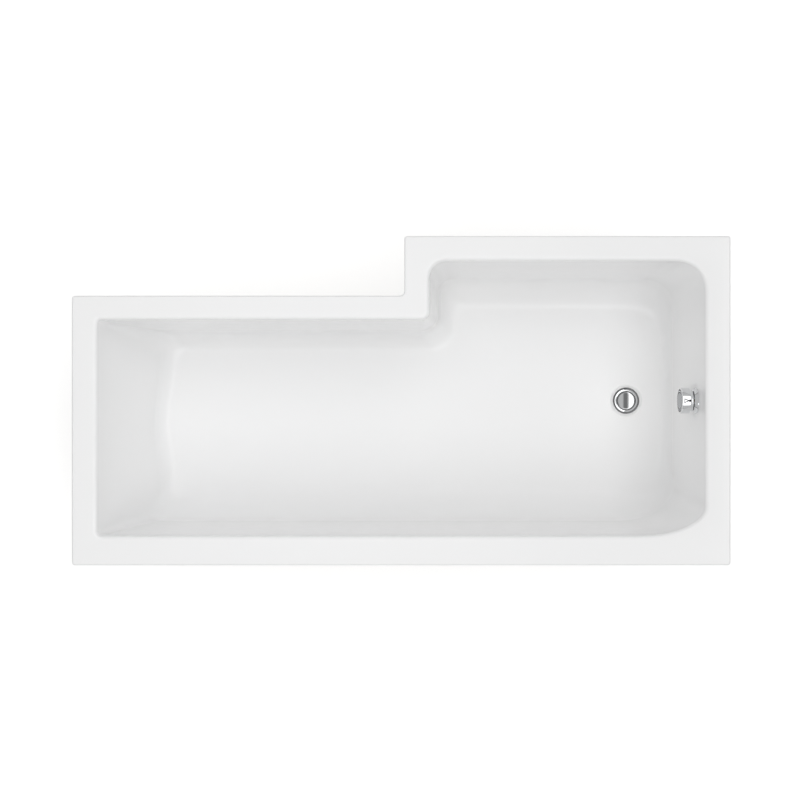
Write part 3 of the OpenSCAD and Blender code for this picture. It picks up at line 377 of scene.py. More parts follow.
def outline(inset, radii, bow=0.0):
    """The tub seen from above at one level: six arcs, with a straight or bowed side after each."""
    arcs = [corner_arc(c, inset, radii) for c in range(6)]
    points = []
    for c in range(6):
        points += arcs[c]
        start, end = arcs[c][-1], arcs[(c + 1) % 6][0]
        for k in range(1, side_steps[c]):
            share = k / side_steps[c]
            out = bow * (1 - cos(2 * pi * share)) / 2 if c == HEAD else 0.0
            points.append(start.lerp(end, share) - Vector((out, 0.0)))
    return points


floor_x = [side_line(s, rim_width[s] + roll_r + lean[s] + sweep[s]) for s in (HEAD, WASTE)]


def floor_level(x):
    return rim_z - tub_depth - floor_fall * (x - floor_x[0]) / (floor_x[1] - floor_x[0])


def edge_ring(turn, down=0.0):
    inset = edge_r * (1 - cos(turn))
    corners = [
        lip_inner_corner + inset if c == inner_corner else lip_corner - inset for c in range(6)
    ]
    level = rim_z - edge_r * (1 - sin(turn)) - down
    return [(*p, level) for p in outline([inset] * 6, [(r, r) for r in corners])]


def roll_ring(turn, out=0.0):
    run = roll_r * sin(turn) - out
    grow = [(run - roll_r) * (-1 if c != inner_corner else 1) for c in range(6)]
    radii = [[max(r + grow[c], tightest_corner) for r in rim_corners[c]] for c in range(6)]
    level = rim_z - roll_r * (1 - cos(turn))
    return [(*p, level) for p in outline([w + run for w in rim_width], radii)]


def wall_ring(depth):
    u = (depth - roll_r) / (tub_depth - roll_r)
    inset = []
    for s in range(6):
        v = max(0.0, 1 - (tub_depth - depth) / rise[s])
        leaned = lean[s] * (u + lean_shape[s] * u * (1 - u))
        swept = sweep[s] * (1 - sqrt(1 - v * v))
        inset.append(rim_width[s] + roll_r + leaned + swept)
    radii = [[a + (b - a) * u for a, b in zip(rim_corners[c], floor_corners[c])] for c in range(6)]
    ring = outline(inset, radii, head_bow * u * u)
    return [(*p, rim_z - depth * (rim_z - floor_level(p.x)) / tub_depth) for p in ring]


wall_steps, sweep_steps = 30, 30
sweep_start = tub_depth - max(rise)
rings = [edge_ring(0.0, lip_h - edge_r), edge_ring(0.0, (lip_h - edge_r) / 2)]
rings += [edge_ring(radians(a)) for a in range(0, 91, 10)]
rings += [roll_ring(0.0, roll_r * 2.5), roll_ring(0.0, roll_r)]
rings += [roll_ring(radians(a)) for a in range(0, 91, 9)]
crease = len(rings)
rings += [
    wall_ring(roll_r + (sweep_start - roll_r) * k / wall_steps) for k in range(1, wall_steps)
]
rings += [
    wall_ring(sweep_start + max(rise) * sin(pi / 2 * k / sweep_steps))
    for k in range(sweep_steps + 1)
]


def draw_ring(bm, ring, places):
    """Extrudes a closed ring of points to the places of the next ring."""
    edges = [bm.edges.get((ring[k - 1], ring[k])) for k in range(len(ring))]
    order = {point: k for k, point in enumerate(ring)}
    grown = bmesh.ops.extrude_edge_only(bm, edges=edges)["geom"]
    drawn = [None] * len(ring)
    for point in [part for part in grown if isinstance(part, bmesh.types.BMVert)]:
        old = next(e.other_vert(point) for e in point.link_edges if e.other_vert(point) in order)
        drawn[order[old]] = point
        point.co = places[order[old]]
    return drawn


def closed_ring(bm, places):
    points = [bm.verts.new(p) for p in places]
    for k in range(len(points)):
        bm.edges.new((points[k - 1], points[k]))
    return points


tub = bmesh.new()
ring = closed_ring(tub, rings[0])
levels = [ring]
for places in rings[1:]:
    ring = draw_ring(tub, ring, places)
    levels.append(ring)
# The crease where the roll meets the leaning walls is eased, in three passes
for _ in range(3):
    bmesh.ops.smooth_vert(
        tub,
        verts=[p for level in levels[crease - 3 : crease + 2] for p in level],
        factor=0.35,
        use_axis_x=True,
        use_axis_y=True,
        use_axis_z=True,
    )

# The waste sits in a shallow round recess with a hole in its middle
seat_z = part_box("waste_top_seal")[0].z
waste_low, waste_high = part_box("waste_flange")
waste_centre = (waste_low + waste_high) / 2
waste_hole_r = 0.026
recess_depth = 0.003
recess_rings = (
    (0.0470, 0.0), (0.0445, 0.0002), (0.0425, 0.0009), (0.0410, 0.0019), (0.0395, 0.0027),
    (0.0375, recess_depth), (0.0320, recess_depth), (waste_hole_r, recess_depth),
)
recess_steps = 72


def waste_circle(radius, down):
    circle = []
    for k in range(recess_steps):
        x = waste_centre.x + radius * cos(2 * pi * k / recess_steps)
        y = waste_centre.y + radius * sin(2 * pi * k / recess_steps)
        circle.append((x, y, seat_z if down >= recess_depth else floor_level(x) - down))
    return circle


recess = closed_ring(tub, waste_circle(*recess_rings[0]))
border = [tub.edges.get((r[k - 1], r[k])) for r in (ring, recess) for k in range(len(r))]
bmesh.ops.triangle_fill(tub, use_beauty=True, use_dissolve=False, edges=border)
for radius, down in recess_rings[1:]:
    recess = draw_ring(tub, recess, waste_circle(radius, down))

# A flat round land for the overflow is pressed into the waste end's wall
knob_joint = next(j for j in frame["joints"] if j["name"] == "knob_turn")
overflow_at = Vector(knob_joint["pos_m"])
overflow_way = Vector(knob_joint["axis"])
overflow_tilt = degrees(atan(-overflow_way.z / overflow_way.x))
at_overflow = Matrix.Translation(overflow_at) @ Matrix.Rotation(radians(overflow_tilt - 90), 4, "Y")
land_r, land_fade, land_reach = 0.037, 0.012, 0.03
over_hole_r, over_hole_steps = 0.026, 64
to_land = at_overflow.inverted()
for point in tub.verts:
    local = to_land @ point.co
    away = local.xy.length
    if away < land_r + land_fade and abs(local.z) < land_reach:
        share = min(1.0, (land_r + land_fade - away) / land_fade)
        local.z *= 1 - share * share * (3 - 2 * share)
        point.co = at_overflow @ local


def on_land(point):
    """True for a point in the flat of the land, 3 mm clear of its edge."""
    local = to_land @ point.co
    return local.xy.length < land_r - 0.003 and abs(local.z) < 0.001


inside = [face for face in tub.faces if all(on_land(point) for point in face.verts)]
bmesh.ops.delete(tub, geom=inside, context="FACES")
land_edge = [
    e for e in tub.edges
    if e.is_boundary and all((to_land @ p.co).length < land_r + 0.004 for p in e.verts)
]
hole_turns = [2 * pi * k / over_hole_steps for k in range(over_hole_steps)]
hole = closed_ring(tub, [
    at_overflow @ Vector((over_hole_r * cos(turn), over_hole_r * sin(turn), 0.0))
    for turn in hole_turns
])
land_edge += [tub.edges.get((hole[k - 1], hole[k])) for k in range(len(hole))]
bmesh.ops.triangle_fill(
    tub, use_beauty=True, use_dissolve=False, edges=land_edge, normal=overflow_way
)

bmesh.ops.remove_doubles(tub, verts=tub.verts, dist=0.00001)
bmesh.ops.recalc_face_normals(tub, faces=tub.faces)
tub.faces.ensure_lookup_table()
on_floor = Vector((0.2, 0.0, floor_level(0.2)))
floor_face = min(tub.faces, key=lambda face: (face.calc_center_median() - on_floor).length)
if floor_face.normal.z < 0:
    bmesh.ops.reverse_faces(tub, faces=tub.faces)


def from_side(place):
    """How far a point is from the nearest of the tub's four outermost sides."""
    return min(
        abs(place.x - shell_low.x), abs(place.x - shell_high.x),
        abs(place.y - shell_low.y), abs(place.y - shell_high.y),
    )


lip_points = [
    k for k, point in enumerate(tub.verts)
    if point.co.z > rim_z - lip_h - 0.001 and from_side(point.co) < 0.02
]
tub_piece = into_scene("tub", tub, acrylic, glass_fibre, sharp=50.0)
thickness = tub_piece.vertex_groups.new(name="thickness")
thickness.add(range(len(tub_piece.data.vertices)), 1.0, "REPLACE")
thickness.add(lip_points, lip_t / sheet_t, "REPLACE")
backing = tub_piece.modifiers.new("backing", "SOLIDIFY")
backing.thickness = sheet_t
backing.offset = -1.0
backing.material_offset = 1
backing.vertex_group = "thickness"


def stands_for(piece, *nodes):
    """The piece rides on the body of the CAD nodes that it replaces, and they are hidden."""
    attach(piece, body_of(frame["nodes"][nodes[0]])[0])
    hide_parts(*nodes)


stands_for(tub_piece, "bath_shell")


# ---- Base board ----
# A particle board is bonded under the tub floor to carry the bather's weight.
# It is sawn to the floor's shape, and its cut edges are a little broken.
chipboard = Finish("particle_board", Roughness=0.85, Specular_IOR_Level=0.2)
chips = None
for turn, stretch in ((0.2, 3.5), (1.2, 2.6), (2.2, 4.5)):
    lay = chipboard.stretched((1.0, stretch, 2.0), (0.0, 0.0, turn))
    flake = chipboard.cells(160.0, lay)
    chips = flake if chips is None else 0.5 * chips + 0.5 * flake
dust = chipboard.noise(420.0, 3.0)
dark_flakes = chipboard.cells(240.0).rise(0.86, 0.9)
chip_tone = chipboard.blend(chips, (0.50, 0.37, 0.22), (0.80, 0.66, 0.46))
chipboard.shown(
    Base_Color=chipboard.blend(0.35 * dust + 0.5 * dark_flakes, chip_tone, (0.2, 0.12, 0.06))
)
chipboard.bump(chips + 0.5 * dust, 0.0006)


same_place, same_cad_place = 0.000002, 0.000005


def eased(name, node, finish, width):
    """A CAD node's copy with its flat faces merged and its edges broken, as the real piece has."""
    bm = bmesh.new()
    bm.from_mesh(frame["nodes"][node].data)
    bmesh.ops.remove_doubles(bm, verts=bm.verts, dist=same_cad_place)
    bmesh.ops.dissolve_limit(
        bm, angle_limit=radians(0.5), use_dissolve_boundaries=False, verts=bm.verts,
        edges=bm.edges, delimit=set(),
    )
    corner_edges = [
        e for e in bm.edges if e.is_manifold and e.calc_face_angle(0.0) > radians(40)
    ]
    bmesh.ops.bevel(
        bm, geom=corner_edges, affect="EDGES", offset=width, offset_type="OFFSET", segments=2,
        profile=0.5, material=-1, clamp_overlap=True,
    )
    bmesh.ops.remove_doubles(bm, verts=bm.verts, dist=same_place)
    piece = into_scene(name, bm, finish)
    stands_for(piece, node)
    return piece


eased("base_board_sawn", "base_board", chipboard, 0.0008)

# ---- Rim battens ----
# Six planed pine battens are bonded under the rim. They stiffen it and take the panel's screws.
# Each is a planed length with broken corners, and its grain runs along it.


def pine_finish(name, grain_scale, ring_way):
    pine = Finish(name, Roughness=0.62, Specular_IOR_Level=0.3)
    along = pine.stretched(grain_scale)
    rings = pine.node(
        "ShaderNodeTexWave", {"wave_type": "BANDS", "bands_direction": ring_way},
        {"Vector": along, "Scale": 1.6, "Distortion": 5.0, "Detail": 2.0, "Detail Scale": 0.6},
        "Fac",
    )
    fibres = pine.noise(9.0, 3.0, along)
    knot_far = pine.node("ShaderNodeTexVoronoi", {}, {"Vector": along, "Scale": 0.22}, "Distance")
    knots = 1 - knot_far.rise(0.06, 0.13)
    sapwood = pine.blend(0.75 * rings + 0.25 * fibres, (0.78, 0.60, 0.37), (0.58, 0.37, 0.18))
    pine.shown(Base_Color=pine.blend(knots, sapwood, (0.22, 0.11, 0.05)))
    pine.bump(rings + 0.8 * fibres, 0.0003)
    return pine


pine_lengthwise = pine_finish("pine_lengthwise", (2.5, 60.0, 60.0), "Y")
pine_crosswise = pine_finish("pine_crosswise", (60.0, 2.5, 60.0), "X")
batten_edge = 0.0015


def block(low, high, edge):
    """A rectangular block between two corners, with its edges rounded."""
    bm = bmesh.new()
    bmesh.ops.create_cube(bm, size=1.0)
    low, high = Vector(low), Vector(high)
    bmesh.ops.scale(bm, vec=high - low, verts=bm.verts)
    bmesh.ops.translate(bm, vec=(low + high) / 2, verts=bm.verts)
    bmesh.ops.bevel(
        bm, geom=bm.edges[:], affect="EDGES", offset=edge, offset_type="OFFSET", segments=3,
        profile=0.5, material=-1,
    )
    return bm


for side in ("front", "waste_end", "wide_side", "step", "narrow_side", "head_end"):
    node = "batten_" + side
    low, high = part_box(node)
    grain = pine_lengthwise if high.x - low.x > high.y - low.y else pine_crosswise
    stands_for(into_scene(node + "_planed", block(low, high, batten_edge), grain), node)

# ---- Steel bars ----
# Three square tubes of galvanised steel lie across the base board and are screwed to it.
# The tube is rolled and welded, so its own CAD form is right, and its zinc has faint crystals.
galvanised = Finish("galvanised_steel", Metallic=1.0)
crystals = galvanised.cells(110.0, galvanised.stretched((1.0, 0.6, 1.0)))
scuffs = galvanised.noise(5.0, 4.0, galvanised.stretched((60.0, 4.0, 60.0)))
galvanised.shown(
    Base_Color=galvanised.blend(crystals, (0.50, 0.52, 0.54), (0.64, 0.655, 0.67)),
    Roughness=0.30 + 0.14 * crystals + 0.10 * scuffs,
)
galvanised.bump(0.3 * crystals + scuffs, 0.00008)
for bar in ("bar_head", "bar_middle", "bar_waste"):
    mesh = frame["nodes"][bar].data
    mesh.materials.clear()
    mesh.materials.append(galvanised.material)

# ---- Bar end plugs ----
# Six black plugs of polypropylene are pushed into the bars' open ends.
# They are injection moulded, with the fine grain that a spark-eroded mould leaves.
black_plastic = Finish("black_moulding", Specular_IOR_Level=0.45)
spark = black_plastic.noise(1600.0, 2.0)
flow = black_plastic.noise(30.0, 3.0)
black_plastic.shown(
    Base_Color=black_plastic.blend(flow, (0.022, 0.022, 0.024), (0.040, 0.040, 0.042)),
    Roughness=0.38 + 0.16 * flow + 0.08 * spark,
)
black_plastic.bump(spark, 0.00006)
eased("bar_end_plugs_moulded", "bar_end_plugs", black_plastic, 0.0006)

# ---- Board screws ----
# Six zinc plated steel screws hold the bars to the base board, driven from below.
# Each has a pan head with a cross recess, and a coarse thread rolled on its shank.
bright_zinc = Finish("bright_zinc_plate", Metallic=1.0)
haze = bright_zinc.noise(220.0, 3.0)
bright_zinc.shown(
    Base_Color=bright_zinc.blend(haze, (0.60, 0.60, 0.58), (0.70, 0.71, 0.72)),
    Roughness=0.22 + 0.16 * haze,
)
bright_zinc.bump(haze, 0.00003)
mm = 0.001


def turned(section, steps, closed=False):
    """Spins a half section of (radius, height, rounding) points, in mm, round the Z axis."""
    bm = bmesh.new()
    points = [bm.verts.new((radius * mm, 0.0, height * mm)) for radius, height, _ in section]
    pairs = list(zip(points, points[1:]))
    if closed:
        pairs.append((points[-1], points[0]))
    for pair in pairs:
        bm.edges.new(pair)
    for rounding in sorted({r for _, _, r in section if r}):
        corners = [p for p, (_, _, r) in zip(points, section) if r == rounding]
        bmesh.ops.bevel(
            bm, geom=corners, affect="VERTICES", offset=rounding * mm, offset_type="OFFSET",
            segments=4, profile=0.5, material=-1,
        )
    bmesh.ops.spin(
        bm, geom=bm.edges[:] + bm.verts[:], axis=(0, 0, 1), cent=(0, 0, 0), angle=2 * pi,
        steps=steps, use_merge=True,
    )
    bmesh.ops.remove_doubles(bm, verts=bm.verts, dist=same_place)
    bmesh.ops.recalc_face_normals(bm, faces=bm.faces)
    return bm


def thread(root_r, crest_r, pitch, low, high, steps=18):
    """The ridge of a screw thread, wound up its core between two heights, in mm."""
    half_root, half_crest = 0.42 * pitch, 0.1 * pitch
    sunk_r = root_r - 0.15
    bm = bmesh.new()
    section = [
        bm.verts.new((radius * mm, 0.0, (low + half_root + height) * mm))
        for radius, height in (
            (sunk_r, -half_root), (crest_r, -half_crest), (crest_r, half_crest), (sunk_r, half_root)
        )
    ]
    start = bm.faces.new(section)
    turns = (high - low - 2 * half_root) / pitch
    count = ceil(turns * steps)
    bmesh.ops.spin(
        bm, geom=[start], axis=(0, 0, 1), cent=(0, 0, 0), dvec=(0, 0, turns * pitch * mm / count),
        angle=2 * pi * turns, steps=count,
    )
    bmesh.ops.recalc_face_normals(bm, faces=bm.faces)
    return bm


def joined(*parts):
    """Puts several bmeshes into the first one."""
    for part in parts[1:]:
        carrier = bpy.data.meshes.new("carrier")
        part.to_mesh(carrier)
        part.free()
        parts[0].from_mesh(carrier)
        bpy.data.meshes.remove(carrier)
    return parts[0]


def moved(bm, place):
    bmesh.ops.transform(bm, matrix=place, verts=bm.verts)
    return bm


def fused(body, tool, operation="UNION"):
    """Joins a second closed bmesh to the first, or cuts it away. Its faces keep their finish."""
    pair = []
    for bm in (body, tool):
        mesh = bpy.data.meshes.new("carrier")
        bm.to_mesh(mesh)
        bm.free()
        for _ in range(2):
            mesh.materials.append(None)
        pair.append(bpy.data.objects.new("carrier", mesh))
        bpy.context.scene.collection.objects.link(pair[-1])
    seam = pair[0].modifiers.new("seam", "BOOLEAN")
    seam.operation, seam.object, seam.solver = operation, pair[1], "EXACT"
    bpy.context.view_layer.update()
    result = bmesh.new()
    result.from_object(pair[0], bpy.context.evaluated_depsgraph_get())
    for carrier in pair:
        mesh = carrier.data
        bpy.data.objects.remove(carrier)
        bpy.data.meshes.remove(mesh)
    bmesh.ops.remove_doubles(result, verts=result.verts, dist=same_place)
    return result


def cross_recess(reach, width, depth, top):
    """The tool that sinks a cross recess into a screw head."""
    arms = [
        block((-x * mm, -y * mm, (top - depth) * mm), (x * mm, y * mm, (top + 1) * mm), 0.0001)
        for x, y in ((reach, width / 2), (width / 2, reach))
    ]
    return fused(*arms)


def pan_screw(core_r, head_r, head_h, end, pitch, thread_from, tip=4.0):
    """A pan head screw: its head rises from height 0, and its shank runs down to the end."""
    screw = turned([
        (0.0, head_h, 0.0), (head_r * 0.45, head_h, 0.4), (head_r, head_h * 0.45, 0.5),
        (head_r, 0.0, 0.1), (core_r, 0.0, 0.1), (core_r, end + tip, 0.2), (0.4, end, 0.0),
        (0.0, end, 0.0),
    ], 32)
    cross = cross_recess(head_r * 0.52, head_r * 0.2, head_h * 0.6, head_h)
    screw = fused(screw, cross, "DIFFERENCE")
    return joined(screw, thread(core_r, core_r * 1.32, pitch, end + tip, thread_from))


def islands(node):
    """The boxes of a CAD node's separate solids."""
    bm = bmesh.new()
    bm.from_mesh(frame["nodes"][node].data)
    bmesh.ops.remove_doubles(bm, verts=bm.verts, dist=same_cad_place)
    left, boxes = set(bm.verts), []
    while left:
        edge_of_search, found = [left.pop()], []
        while edge_of_search:
            point = edge_of_search.pop()
            found.append(point.co.copy())
            for near in [e.other_vert(point) for e in point.link_edges]:
                if near in left:
                    left.remove(near)
                    edge_of_search.append(near)
        boxes.append([Vector([pick(p[i] for p in found) for i in range(3)]) for pick in (min, max)])
    bm.free()
    return sorted(boxes, key=lambda corners: tuple(corners[0]))


board_head_h = 3.0
board_screws = []
for low, high in islands("board_screws"):
    middle = (low + high) / 2
    length = (high.z - low.z) / mm
    screw = pan_screw(1.9, 5.0, board_head_h, board_head_h - length, 2.2, -30.5)
    # The head hangs below the bar, so the screw stands on its head
    head_at = Matrix.Translation((middle.x, middle.y, low.z + board_head_h * mm))
    board_screws.append(moved(screw, head_at @ Matrix.Rotation(pi, 4, "X")))
stands_for(into_scene("board_screws_threaded", joined(*board_screws), bright_zinc), "board_screws")

# ---- Nuts on the bars ----
# Hexagon nuts of zinc plated steel carry the studs of the feet. One is welded on each bar end,
# and a loose one below the bar locks the stud when the bath is level.
eased("weld_nuts_pressed", "weld_nuts", bright_zinc, 0.0003)
eased("lock_nuts_pressed", "lock_nuts", bright_zinc, 0.0003)

# ---- Screw feet ----
# Each foot is a zinc plated M10 stud in a ribbed pad of black polypropylene. Turning it in its
# nut levels the bath. The stud's thread is rolled, and the pad is moulded with its screw ears.
stud_r, stud_root_r, stud_pitch = 5.0, 4.2, 1.5
shortest = min(high.z - low.z for low, high in [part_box(f"foot_stud_{k}") for k in range(1, 7)]) / mm
stud_thread = thread(stud_root_r, stud_r, stud_pitch, 1.0, shortest - 1.2)
for k in range(1, 7):
    low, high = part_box(f"foot_stud_{k}")
    middle = (low + high) / 2
    length = (high.z - low.z) / mm
    core = turned([
        (0.0, 0.0, 0.0), (stud_root_r - 0.8, 0.0, 0.2), (stud_root_r, 1.0, 0.2),
        (stud_root_r, length - 1.4, 0.2), (stud_root_r - 1.2, length, 0.2), (0.0, length, 0.0),
    ], 24)
    stud = joined(core, stud_thread.copy())
    moved(stud, Matrix.Translation((middle.x, middle.y, low.z)))
    stands_for(into_scene(f"foot_stud_{k}_threaded", stud, bright_zinc), f"foot_stud_{k}")
    eased(f"foot_pad_{k}_moulded", f"foot_pad_{k}", black_plastic, 0.0007)
stud_thread.free()


# ---- Waste flange ----
# A chromed brass flange clamps the tub's floor and screws into the waste body below. It is turned
# from bar, and a cross at the foot of its throat guides the plug's stem.
chrome = Finish("bright_chrome", Metallic=1.0)
chrome_haze = chrome.noise(60.0, 4.0)
chrome.shown(
    Base_Color=chrome.blend(chrome_haze, (0.78, 0.79, 0.80), (0.82, 0.83, 0.84)),
    Roughness=0.03 + 0.06 * chrome_haze ** 3,
)
chrome.bump(chrome.noise(700.0, 1.0), 0.000004)

# Painted shade: rings round the waste's axis darken the flange's outer edge and the plug's brim,
# which are a little rougher too
shade_ringed_chrome = Finish("shade_ringed_chrome", Metallic=1.0)
from_axis = shade_ringed_chrome.node(
    "ShaderNodeMapping", {"vector_type": "POINT"},
    {"Vector": shade_ringed_chrome.place, "Location": (-waste_centre.x, -waste_centre.y, -seat_z)},
)
level_part = shade_ringed_chrome.node(
    "ShaderNodeVectorMath", {"operation": "MULTIPLY"}, {0: from_axis, 1: (1.0, 1.0, 0.0)}
)
axis_r = shade_ringed_chrome.node(
    "ShaderNodeVectorMath", {"operation": "LENGTH"}, {0: level_part}, "Value"
)
# Painted shade and a painted dark reflection at the flange's foot and in the gap round the plug's
# brim
flange_painted_shade = axis_r.rise(0.0305, 0.0320)
plug_gap_painted_shade = 0.75 * axis_r.rise(0.0217, 0.0224) * (1 - axis_r.rise(0.0250, 0.0258))
painted_shade_rings = flange_painted_shade + plug_gap_painted_shade
edge_haze = shade_ringed_chrome.noise(60.0, 4.0)
shade_ringed_chrome.shown(
    Base_Color=shade_ringed_chrome.blend(painted_shade_rings, (0.80, 0.81, 0.82), (0.20, 0.20, 0.205)),
    Roughness=0.03 + 0.06 * edge_haze ** 3 + 0.08 * painted_shade_rings,
)
shade_ringed_chrome.bump(shade_ringed_chrome.noise(700.0, 1.0), 0.000004)

at_waste = Matrix.Translation((waste_centre.x, waste_centre.y, seat_z))
throat_in_r, throat_r, throat_end = 21.1, 23.9, -25.8
throat_core_r = throat_r - 0.8
hub_bore_r, hub_r, hub_top, arm_top = 3.1, 6.5, throat_end + 8, throat_end + 4
flange = turned([
    (34.5, 1.2, 0.0), (36.0, 1.4, 0.4), (36.0, 2.8, 0.8), (34.4, 4.5, 1.0), (32.6, 4.85, 0.8),
    (26.9, 4.05, 0.4), (throat_in_r, -1.0, 0.6), (throat_in_r, throat_end, 0.3),
    (throat_core_r, throat_end, 0.2), (throat_core_r, -0.6, 0.2), (throat_r, 0.2, 0.0),
    (24.7, 1.2, 0.0),
], 128, closed=True)
hub = turned([
    (hub_bore_r, throat_end, 0.2), (hub_r, throat_end, 0.4), (hub_r, hub_top, 0.8),
    (hub_bore_r, hub_top, 0.3),
], 48, closed=True)
arm_start, arm_end, arm_half = 5.0, throat_in_r + 1, 1.5
arms = None
for turn in (45, 135):
    for start, end in ((-arm_end, -arm_start), (arm_start, arm_end)):
        arm = block(
            (start * mm, -arm_half * mm, throat_end * mm), (end * mm, arm_half * mm, arm_top * mm),
            0.0004,
        )
        moved(arm, Matrix.Rotation(radians(turn), 4, "Z"))
        arms = arm if arms is None else joined(arms, arm)
throat_thread = thread(throat_core_r, throat_r, 1.8, throat_end + 1, -2.0, 36)
flange = joined(fused(flange, arms), hub, throat_thread)
stands_for(into_scene("waste_flange_turned", moved(flange, at_waste), shade_ringed_chrome), "waste_flange")

# ---- Waste washers ----
# Two washers of black rubber seal the tub's floor: one under the flange, one on the waste body.
# They are moulded rings, squeezed between the two, and a faint bloom dulls them.
rubber = Finish("black_rubber", Specular_IOR_Level=0.35)
bloom = rubber.noise(35.0, 4.0)
rubber.shown(
    Base_Color=rubber.blend(bloom, (0.018, 0.018, 0.018), (0.055, 0.055, 0.054)),
    Roughness=0.62 + 0.25 * bloom,
)
rubber.bump(rubber.noise(900.0, 3.0), 0.00008)


def washer(name, node, in_r, out_r, low, high, place):
    """A moulded rubber ring of square section with rounded corners."""
    corners = ((in_r, low), (out_r, low), (out_r, high), (in_r, high))
    hoop = turned([(radius, height, 0.35) for radius, height in corners], 96, closed=True)
    stands_for(into_scene(name, moved(hoop, place), rubber), node)


washer("waste_top_washer", "waste_top_seal", 27.0, 34.5, 0.0, 1.2, at_waste)
washer("waste_low_washer", "waste_low_seal", 27.0, 35.0, -9.0, -6.0, at_waste)

# ---- Waste body ----
# The body under the floor is moulded in white polypropylene, with a port for the overflow's hose,
# a lug for the cable and a threaded tail for the trap. The CAD's plain tail is cut down to the
# thread's core first.
white_plastic = Finish("white_moulding", Specular_IOR_Level=0.45)
melt = white_plastic.noise(22.0, 3.0)
white_plastic.shown(
    Base_Color=white_plastic.blend(melt, (0.72, 0.72, 0.70), (0.82, 0.82, 0.81)),
    Roughness=0.34 + 0.16 * melt,
)
white_plastic.bump(white_plastic.noise(1300.0, 2.0) + 0.6 * melt, 0.00005)
tail_r, tail_core_r, tail_low, tail_len = 23.9, 22.7, -92.1, 30.0
body = eased("waste_body_moulded", "waste_body", white_plastic, 0.0006)
tail_top = tail_low + tail_len
to_waste = at_waste.inverted()
for point in body.data.vertices:
    local = to_waste @ point.co
    if local.z < (tail_top - 0.4) * mm and local.xy.length > tail_core_r * mm:
        local.xy *= tail_core_r * mm / local.xy.length
        point.co = at_waste @ local
tail_thread = thread(tail_core_r, tail_r, 2.3, tail_low + 1, tail_top - 1, 48)
tail_piece = into_scene("waste_tail_thread", moved(tail_thread, at_waste), white_plastic)
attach(tail_piece, "bath")

# ---- Plug cap ----
# The plug is a chromed brass cap that stands in the flange's cone. It is turned from bar, its
# top to a very slight dome, which gives the chrome its bands.
dome_top, dome_fall, plug_low = 6.2, 0.0018, -0.8
dome = [(radius, dome_top - dome_fall * radius ** 2, 0.0) for radius in range(0, 22, 3)]
plug = turned(dome + [
    (22.2, 5.3, 0.8), (24.3, 4.7, 0.6), (25.0, 4.0, 0.4), (23.4, 3.3, 0.3), (20.1, 3.3, 0.2),
    (20.1, 0.6, 0.3), (20.9, 0.1, 0.2), (20.9, plug_low, 0.3), (0.0, plug_low, 0.0),
], 128)
stands_for(into_scene("plug_cap_turned", moved(plug, at_waste), shade_ringed_chrome), "plug_cap")

# ---- Plug seal ----
# An O-ring of black rubber sits in the groove under the plug's brim and seals on the flange's
# cone. It is moulded round, with no seam that shows.
seal_r, seal_wire_r, seal_z, seal_sides = 21.6, 1.5, 1.7, 16
seal_turns = [2 * pi * k / seal_sides for k in range(seal_sides)]
o_ring = turned([
    (seal_r + seal_wire_r * cos(turn), seal_z + seal_wire_r * sin(turn), 0.0) for turn in seal_turns
], 96, closed=True)
stands_for(into_scene("plug_o_ring", moved(o_ring, at_waste), rubber), "plug_seal")

# ---- Plug stem and adjuster ----
# A turned brass stem runs from the plug through the flange's hub, and a threaded brass adjuster
# in its end sets how far the rocker lifts it. Water has tarnished both.
brass = Finish("turned_brass", Metallic=1.0)
tarnish = brass.noise(45.0, 4.0)
tool_marks = brass.noise(4.0, 2.0, brass.stretched((30.0, 30.0, 1500.0)))
brass.shown(
    Base_Color=brass.blend(tarnish, (0.80, 0.62, 0.33), (0.60, 0.43, 0.20)),
    Roughness=0.20 + 0.20 * tarnish + 0.08 * tool_marks,
)
brass.bump(tool_marks, 0.00003)
stem_r, stem_end = 3.0, -33.8
adjuster_r, adjuster_core_r, adjuster_end = 2.0, 1.7, -41.8


def rod(radius, low, high, edge=0.3):
    """A round rod between two heights, in mm, with its ends rounded over."""
    section = [(0.0, low, 0.0), (radius, low, edge), (radius, high, edge), (0.0, high, 0.0)]
    return turned(section, 32)


stem = moved(rod(stem_r, stem_end, plug_low), at_waste)
stands_for(into_scene("plug_stem_turned", stem, brass), "plug_stem")
adjuster = joined(
    rod(2.8, adjuster_end, adjuster_end + 3, 0.5),
    rod(adjuster_core_r, adjuster_end + 2.5, stem_end, 0.1),
    thread(adjuster_core_r, adjuster_r, 0.7, adjuster_end + 3.1, stem_end),
)
stands_for(into_scene("plug_adjuster_threaded", moved(adjuster, at_waste), brass), "plug_adjuster")

# ---- Lift lever ----
# A cast brass rocker inside the waste body lifts the plug's stem. Its turned spindle goes through
# the body's boss to a pressed steel crank outside, which the wire pulls.
eased("lift_rocker_cast", "lift_rocker", brass, 0.0005)
eased("rocker_spindle_turned", "rocker_spindle", brass, 0.0003)
eased("lift_crank_pressed", "lift_crank", bright_zinc, 0.0004)

# ---- Pull wire and its sheath ----
# A zinc plated steel wire runs from the crank into an extruded black sheath, which comes up behind
# the tub to the overflow. Two moulded glands hold the sheath's ends.
eased("pull_wire_drawn", "pull_wire", bright_zinc, 0.0002)


def run_at(distance, start_x, start_z, turn_x, bend_r):
    """Place and heading of a run that goes level along X, round one bend and straight up."""
    level = turn_x - bend_r - start_x
    turn = bend_r * pi / 2
    if distance < level:
        return start_x + distance, start_z, 0.0
    if distance < level + turn:
        angle = (distance - level) / bend_r
        return turn_x - bend_r + bend_r * sin(angle), start_z + bend_r - bend_r * cos(angle), angle
    return turn_x, start_z + bend_r + distance - level - turn, pi / 2


def laid(tube, y, *run):
    """Carries a straight tube, drawn up the Z axis, along its run."""
    for point in tube.verts:
        x, z, angle = run_at(point.co.z, *run)
        point.co = (x - point.co.x * sin(angle), y + point.co.y, z + point.co.x * cos(angle))
    bmesh.ops.recalc_face_normals(tube, faces=tube.faces)
    return tube


